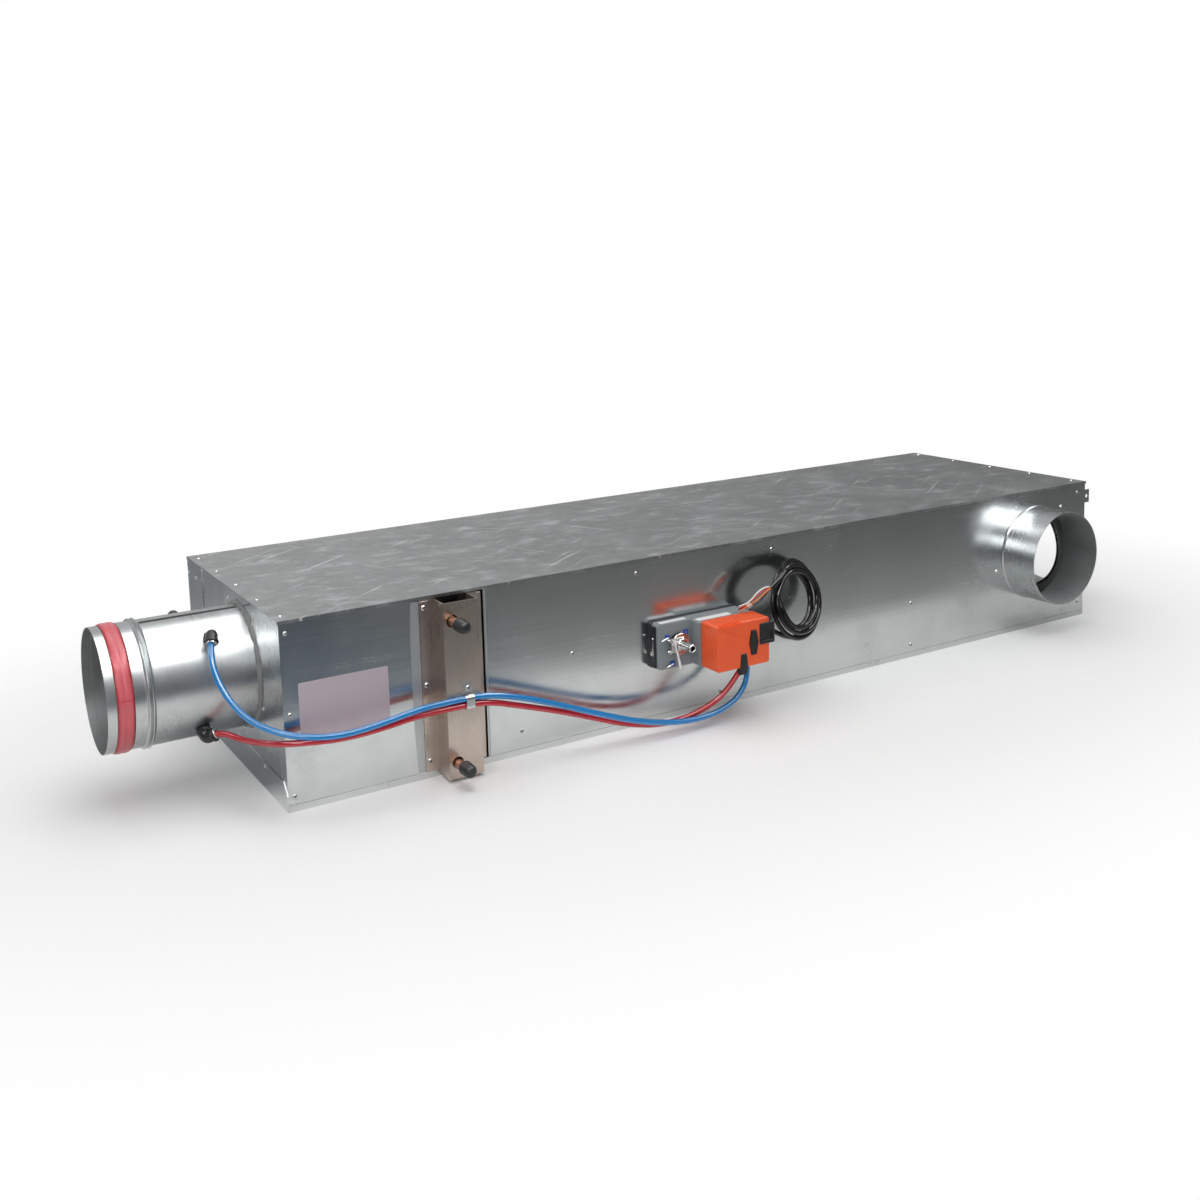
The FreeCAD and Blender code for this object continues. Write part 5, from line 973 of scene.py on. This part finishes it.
class UNIT_OT_clamp(bpy.types.Operator):
    """Spindle clamp on the damper shaft: toothed jaw, bolt and nuts, pointer and the hollow shaft"""
    bl_idname = "unit.clamp"
    bl_label = "Spindle Clamp"

    def execute(self, context):
        ring = lathe([(22.4, 6.05), (22.4, 10.6), (25.4, 11.4), (25.4, 15.0), (25.9, 15.5), (29.2, 15.5),
                      (29.8, 14.9), (29.8, 12.8), (28.4, 12.2), (28.4, 9.2), (34.8, 9.0), (35.3, 8.5),
                      (35.3, 6.05)], 64)
        jaw = block(rounded(16, 20, 1.2, 3) + (-9.2, 0), 26.8, 31.2, 0.5)
        self.turning("clamp_ring", "Bright Steel", [ring, jaw], "spindle_clamp")
        half, legs = np.linspace(-np.pi / 2, np.pi / 2, 20), np.linspace(-23, 2.4, 6)
        apart, height = 8.3, 29.2
        path = np.concatenate([np.stack([legs, np.full(6, -apart)], -1),
                               np.stack([3 + apart * np.cos(half), apart * np.sin(half)], -1),
                               np.stack([legs[::-1], np.full(6, apart)], -1)])
        path = np.column_stack([path, np.full(len(path), height)])
        nut = hexagons((3.0, -20.2), (3.5, -19.8), (3.5, -17.4), (3.0, -17.0))
        nuts = [seated(nut, (0, side, height), LYING) for side in (-apart, apart)]
        bolt = sweep(path, 1.8, (0, 0, 1), 20)
        self.turning("clamp_bolt_and_nuts", "Bright Steel", [bolt, *nuts], "clamp_bolt")
        bar = np.array(((-13.5, 6.0), (-13.2, 4.9), (-4.6, -35.2), (-4.0, -35.9), (-0.9, -35.3),
                        (-0.6, -34.6), (-9.3, -3), (-9.3, 6.8), (-9.6, 7.0), (-13.2, 6.4)))
        self.turning("angle_pointer", "Sticker Film", [block(bar, 31.3, 32.3, 0.25, 2)], "position_pointer")
        shaft = lathe([(-412, 0), (-412, 5.5), (-411.5, 6), (57.2, 6), (58, 5.3), (58, 4.1), (57.6, 3.72),
                       (36.2, 3.72), (36, 0)], 48, ends=True)
        self.turning("damper_spindle", "Bright Steel", [shaft], "damper_shaft")
        return {"FINISHED"}

    @staticmethod
    def turning(name, material, parts, node):
        """A piece drawn about the shaft, its height forwards, that turns with the damper."""
        parts = [seated(part, (SHAFT[0], 0, SHAFT[1]), TO_FRONT) for part in parts]
        build(name, material, parts, node, body="damper", slot="bright_steel")


def head(radius, rise, rivet=False):
    """Polar grid: a screw's low dome with a cross sunk into its middle, or a rivet's dome with the broken
    mandrel's hole."""
    r, turn = np.meshgrid(np.linspace(0, 1, 9), full_turn(28), indexing="ij")
    arm = np.minimum(np.abs(np.sin(turn)), np.abs(np.cos(turn))) * r
    if rivet:
        height = (1 - r ** 2.4) ** 0.8 - 0.5 * (r < 0.34)
    else:
        height = (1 - r ** 3.2) ** 0.7 - 0.45 * (arm < 0.13) * (r < 0.55)
    return shell(np.concatenate([polar(radius * r, turn, rise * height), np.zeros((1, 28, 3))]))


def recess(radius, rise):
    """Painted shade in a screw's socket: a black shallow cup over the head's middle."""
    cup = np.array(((0.55, 0), (0.97, 0.42), (1.02, 0.40), (0.72, 0.2), (0.7, 0)))
    return lathe(cup * (rise, radius), 16, ends=True)


LEFT_SCREWS = [(8, 10.4), (8, 113.2), (8, 214.8)]
MAIN_SCREWS = [(508, 211), (748, 211), (1429, 214), (1436, 16), (402, 115.5), (321, 24), (650, 12),
               (1032, 81), (1032, 12)]


class UNIT_OT_fasteners(bpy.types.Operator):
    """Pan-head screws on the cover, panels and bracket, and the rivets round the spigots"""
    bl_idname = "unit.fasteners"
    bl_label = "Screws and Rivets"

    def execute(self, context):
        radius = context.scene.unit_sizes.screw * 1000
        rows = [22 + i * (CASING_DEEP - 44) / 4 for i in range(5)]
        cover = [((x, y, CASING_TALL), UP) for x in (10, CASING_LONG - 10) for y in rows]
        panel = [((x, 0, z), TO_FRONT) for x, z in LEFT_SCREWS + MAIN_SCREWS]
        panel += [((x, CASING_DEEP, z), TO_REAR) for x, z in LEFT_SCREWS + MAIN_SCREWS[:4] + MAIN_SCREWS[6:]]
        panel += [((-1, CASING_DEEP * share, 22), TO_INLET) for share in (0.21, 0.79)]
        panel += [((CASING_LONG + 1, CASING_DEEP * share, 22), TO_OUTLET) for share in (0.06, 0.79)]
        panel.append(((-1, CASING_DEEP - 76 * 0.6, 209), TO_INLET))
        bracket = [((186.5, -2.3, CASING_TALL * share), TO_FRONT) for share in (1 / 16, 0.5, 15 / 16)]
        clip = [((229, -32.8, 112), TO_FRONT)]
        socket_shades = []
        for name, node, groups in (
                ("cover_screw_heads", "cover_screws", [(cover, radius * 0.9, 1.3)]),
                ("panel_screw_heads", "panel_screws", [(panel, radius, 1.6)]),
                ("bracket_screw_heads", "bracket_screws", [(bracket, 3.8, 2.2), (clip, 3.2, 1.9)])):
            build(name, "Screw Steel", [seated(head(size, rise), *spot) for spots, size, rise in groups
                                        for spot in spots], node)
            socket_shades += [seated(recess(size, rise), *spot) for spots, size, rise in groups for spot in spots]
        # Black cups over the screw heads' middles, as painted shade in their sockets.
        build("screw_socket_shade", "Black Plastic", socket_shades, slot="bright_steel")
        rivet = head(2.9, 1.6, rivet=True)
        ring, wide = 91, 96
        rivets = []
        for angle in np.radians(48 + 72 * np.arange(5)):
            out, up = math.cos(angle), math.sin(angle)
            rivets += [seated(rivet, (0, INLET_AXIS[0] - out * ring, INLET_AXIS[1] + up * ring), TO_INLET),
                       seated(rivet, (OUTLET_AXIS[0] + out * wide, 0, OUTLET_AXIS[1] + up * wide), TO_FRONT),
                       seated(rivet, (CASING_LONG, END_AXIS[0] + out * ring, END_AXIS[1] + up * ring),
                              TO_OUTLET)]
        build("rivet_heads", "Rivet Aluminium", rivets, "spigot_rivets")
        label = block(rounded(116, 72, 2.5, 5) + (78, 114.5), 0.02, 0.3, 0.08, 2)
        build("blank_label", "Label Film", [front(label)], "label_plate")
        return {"FINISHED"}


# Stage

# Solved from the casing's edges and the spigots: azimuth, elevation and roll in radians
CAMERA_PLACE = (-0.273274, -1.663668, 0.528959)
CAMERA_TURN = (-0.54685, 0.14006, -0.0263)
CAMERA_LENS, CAMERA_SENSOR, CAMERA_SHIFT = 39.48, 36.0, -0.1417
FRONT_FACE = -0.164


class UNIT_OT_stage(bpy.types.Operator):
    """Camera at the photograph's angle, pale floor, soft light and plain background"""
    bl_idname = "unit.stage"
    bl_label = "Stage"

    def execute(self, context):
        self.camera(context)
        self.floor(context)
        self.lights(context)
        self.world(context)
        context.scene.view_settings.view_transform = "Standard"
        return {"FINISHED"}

    @staticmethod
    def camera(context):
        """Camera axes from its azimuth, elevation and roll."""
        azimuth, elevation, roll = CAMERA_TURN
        back = np.array((math.sin(azimuth) * math.cos(elevation), -math.cos(azimuth) * math.cos(elevation),
                         math.sin(elevation)))
        right = np.array((math.cos(azimuth), math.sin(azimuth), 0))
        up = np.cross(back, right)
        across = math.cos(roll) * right + math.sin(roll) * up
        above = -math.sin(roll) * right + math.cos(roll) * up
        data = bpy.data.cameras.new("photo_camera")
        data.lens, data.sensor_width, data.shift_y = CAMERA_LENS, CAMERA_SENSOR, CAMERA_SHIFT
        data.clip_end = 60
        camera = shown("photo_camera", data)
        axes = np.column_stack([across, above, back, CAMERA_PLACE])
        camera.matrix_world = Matrix(np.vstack([axes, (0, 0, 0, 1)]).tolist())
        context.scene.camera = camera

    @staticmethod
    def floor(context):
        """Flat grid under the tray, white to the camera. In the panels it mirrors pale near the casing and
        grey further out, with a cooler grey in front of the inlet end, a painted shadow round the inlet end's
        foot, and a faint painted glow in its mirrored colour."""
        sizes = context.scene.unit_sizes
        x, y = np.meshgrid(np.linspace(-9, 11, 41), np.linspace(-9, 11, 41), indexing="ij")
        points, faces = shell(np.stack([x, y, np.full(x.shape, sizes.floor)], -1)[::-1], round_columns=False)
        mesh = bpy.data.meshes.new("floor")
        mesh.from_pydata(points.tolist(), [], faces.tolist())
        ground = shown("floor", mesh)
        material, t, vector = start_material("Studio Floor")
        along, depth, _ = t.parts(vector)
        ahead = t.less(FRONT_FACE, depth)
        edge = t.add(ahead, t.spread(along, 0.6, 1.2, 0.0, 0.06))
        near = t.spread(edge, sizes.sheet_edge - 0.02, sizes.sheet_edge + 0.05, 1.0, 0.0)
        behind = t.mix(t.spread(along, 0.1, 0.2, 1.0, 0.0), t.spread(depth, 0.35, 1.0, 1.0, 0.25),
                       t.spread(depth, 0.6, 0.82, 1.3, 0.2))
        # Painted shadow: the mirrored floor is darkened round the foot of the inlet end.
        corner = t.times(t.spread(along, 0.02, 0.12), t.spread(along, 0.18, 0.2, 1.0, 0.0))
        corner = t.times(corner, t.spread(depth, -0.13, -0.06, 0.0, 0.75))
        corner = t.times(corner, t.spread(depth, 0.15, 0.4, 1.0, 0.0))
        near = t.times(t.times(near, behind), t.less(1.0, corner))
        left = t.spread(along, 0.42, 0.72, 1.0, 0.0)
        cold = t.between(left, (1.0, 1.02, 1.0, 1.0), (0.50, 0.60, 0.74, 1.0))
        far = t.times(t.spread(ahead, 0.35, 0.7, 0.27, 0.14), t.spread(along, 0.05, 0.2, 0.5, 1.0))
        bright = t.spread(along, 0.3, 1.5, 0.92, 0.72)
        bright = t.put("CombineColor", {0: bright, 1: bright, 2: t.times(bright, 0.98)})
        mirrored = t.between(near, t.stretched(cold, far), bright)
        dusty = t.noise(vector, 6.0)
        pale = t.between(dusty, (0.86, 0.86, 0.855, 1.0), (0.88, 0.88, 0.88, 1.0))
        rays, gloss = UNIT_OT_stage.rays(t)
        # Painted light: for mirrored rays the floor also glows faintly in its mirrored colour.
        shaded = t.shade(t.between(gloss, pale, mirrored), 0.9, dusty, 0.0002, 0.1, Specular_IOR_Level=0.1,
                         Emission_Color=mirrored, Emission_Strength=t.times(gloss, 0.16))
        away = t.stretched(t.vectors("ADD", vector, (-0.82, -0.05, 0)), (0.62, 1.0, 0))
        away = t.spread(t.vectors("LENGTH", away, out=1), 0.35, 0.95, interpolation_type="SMOOTHSTEP")
        glow = t.put("Emission", {"Color": (1, 1, 1, 1), "Strength": 1.0})
        seen = t.put("MixShader", {0: t.times(rays["Is Camera Ray"], away), 1: shaded[0], 2: glow})
        t.fill(t.tree.nodes["Material Output"], {"Surface": seen})
        mesh.materials.append(material)

    @staticmethod
    def rays(t):
        """The kinds of ray, and whether a ray is a mirrored or a refracted one."""
        rays = t.tree.nodes.new("ShaderNodeLightPath").outputs
        return rays, t.most(rays["Is Glossy Ray"], rays["Is Transmission Ray"])

    @staticmethod
    def lights(context):
        """A broad soft box overhead and a weaker one from the front left."""
        for name, place, aim, wide, tall, power in (
                ("overhead", (0.55, 0.0, 2.1), (0.75, 0.05, 0.0), 2.6, 1.3, 30.0),
                ("front_fill", (-1.6, -2.6, 1.3), (0.5, 0.0, 0.0), 1.4, 1.0, 24.0)):
            data = bpy.data.lights.new(name, "AREA")
            data.shape = "RECTANGLE"
            data.size, data.size_y, data.energy = wide, tall, power
            turn = (Vector(aim) - Vector(place)).to_track_quat("-Z", "Y")
            shown(name, data).matrix_world = Matrix.Translation(place) @ turn.to_matrix().to_4x4()

    @staticmethod
    def world(context):
        """Plain light from all round. The camera sees white; metal and hoses see a background that darkens to
        the right, and a bright band above the front."""
        world = bpy.data.worlds.new("studio")
        world.use_nodes = True
        t = Shades(world.node_tree)
        along, depth, high = t.parts(t.put("TexCoord"))
        side = t.spread(along, 0.26, 0.72, 0.6, 0.25)
        band = t.times(t.spread(high, 0.72, 0.75), t.spread(high, 0.82, 0.85, 1.0, 0.0))
        ahead = t.add(t.spread(high, 0.3, 0.7, 0.2, 0.42), t.times(band, 12.0))
        rays, gloss = UNIT_OT_stage.rays(t)
        strength = t.mix(gloss, 0.44, t.mix(t.spread(depth, 0.0, 0.2), ahead, side))
        t.fill(t.tree.nodes["Background"], {"Strength": t.most(rays["Is Camera Ray"], strength),
                                            "Color": (1, 1, 1, 1)})
        context.scene.world = world


class UNIT_PT_panel(bpy.types.Panel):
    bl_label = "Induction Unit"
    bl_idname = "UNIT_PT_panel"
    bl_space_type = "VIEW_3D"
    bl_region_type = "UI"
    bl_category = "Induction Unit"

    def draw(self, context):
        for settings in (context.scene.unit_sizes, context.scene.unit_finishes):
            box = self.layout.box()
            for field in settings.__annotations__:
                box.prop(settings, field)
        for operator in OPERATORS:
            self.layout.operator(operator.bl_idname)


OPERATORS = (UNIT_OT_stage, UNIT_OT_finishes, UNIT_OT_hoses, UNIT_OT_cable, UNIT_OT_spigots, UNIT_OT_elbows,
             UNIT_OT_coil_ends, UNIT_OT_drive, UNIT_OT_clamp, UNIT_OT_fasteners)
CLASSES = (UnitSizes, UnitFinishes, *OPERATORS, UNIT_PT_panel)


def register():
    for item in CLASSES:
        bpy.utils.register_class(item)
    bpy.types.Scene.unit_sizes = PointerProperty(type=UnitSizes)
    bpy.types.Scene.unit_finishes = PointerProperty(type=UnitFinishes)


def unregister():
    del bpy.types.Scene.unit_finishes
    del bpy.types.Scene.unit_sizes
    for item in reversed(CLASSES):
        bpy.utils.unregister_class(item)


def main():
    """Runs each operator in order."""
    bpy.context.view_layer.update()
    register()
    for operator in OPERATORS:
        group, name = operator.bl_idname.split(".")
        getattr(getattr(bpy.ops, group), name)()


if __name__ == "__main__":
    main()
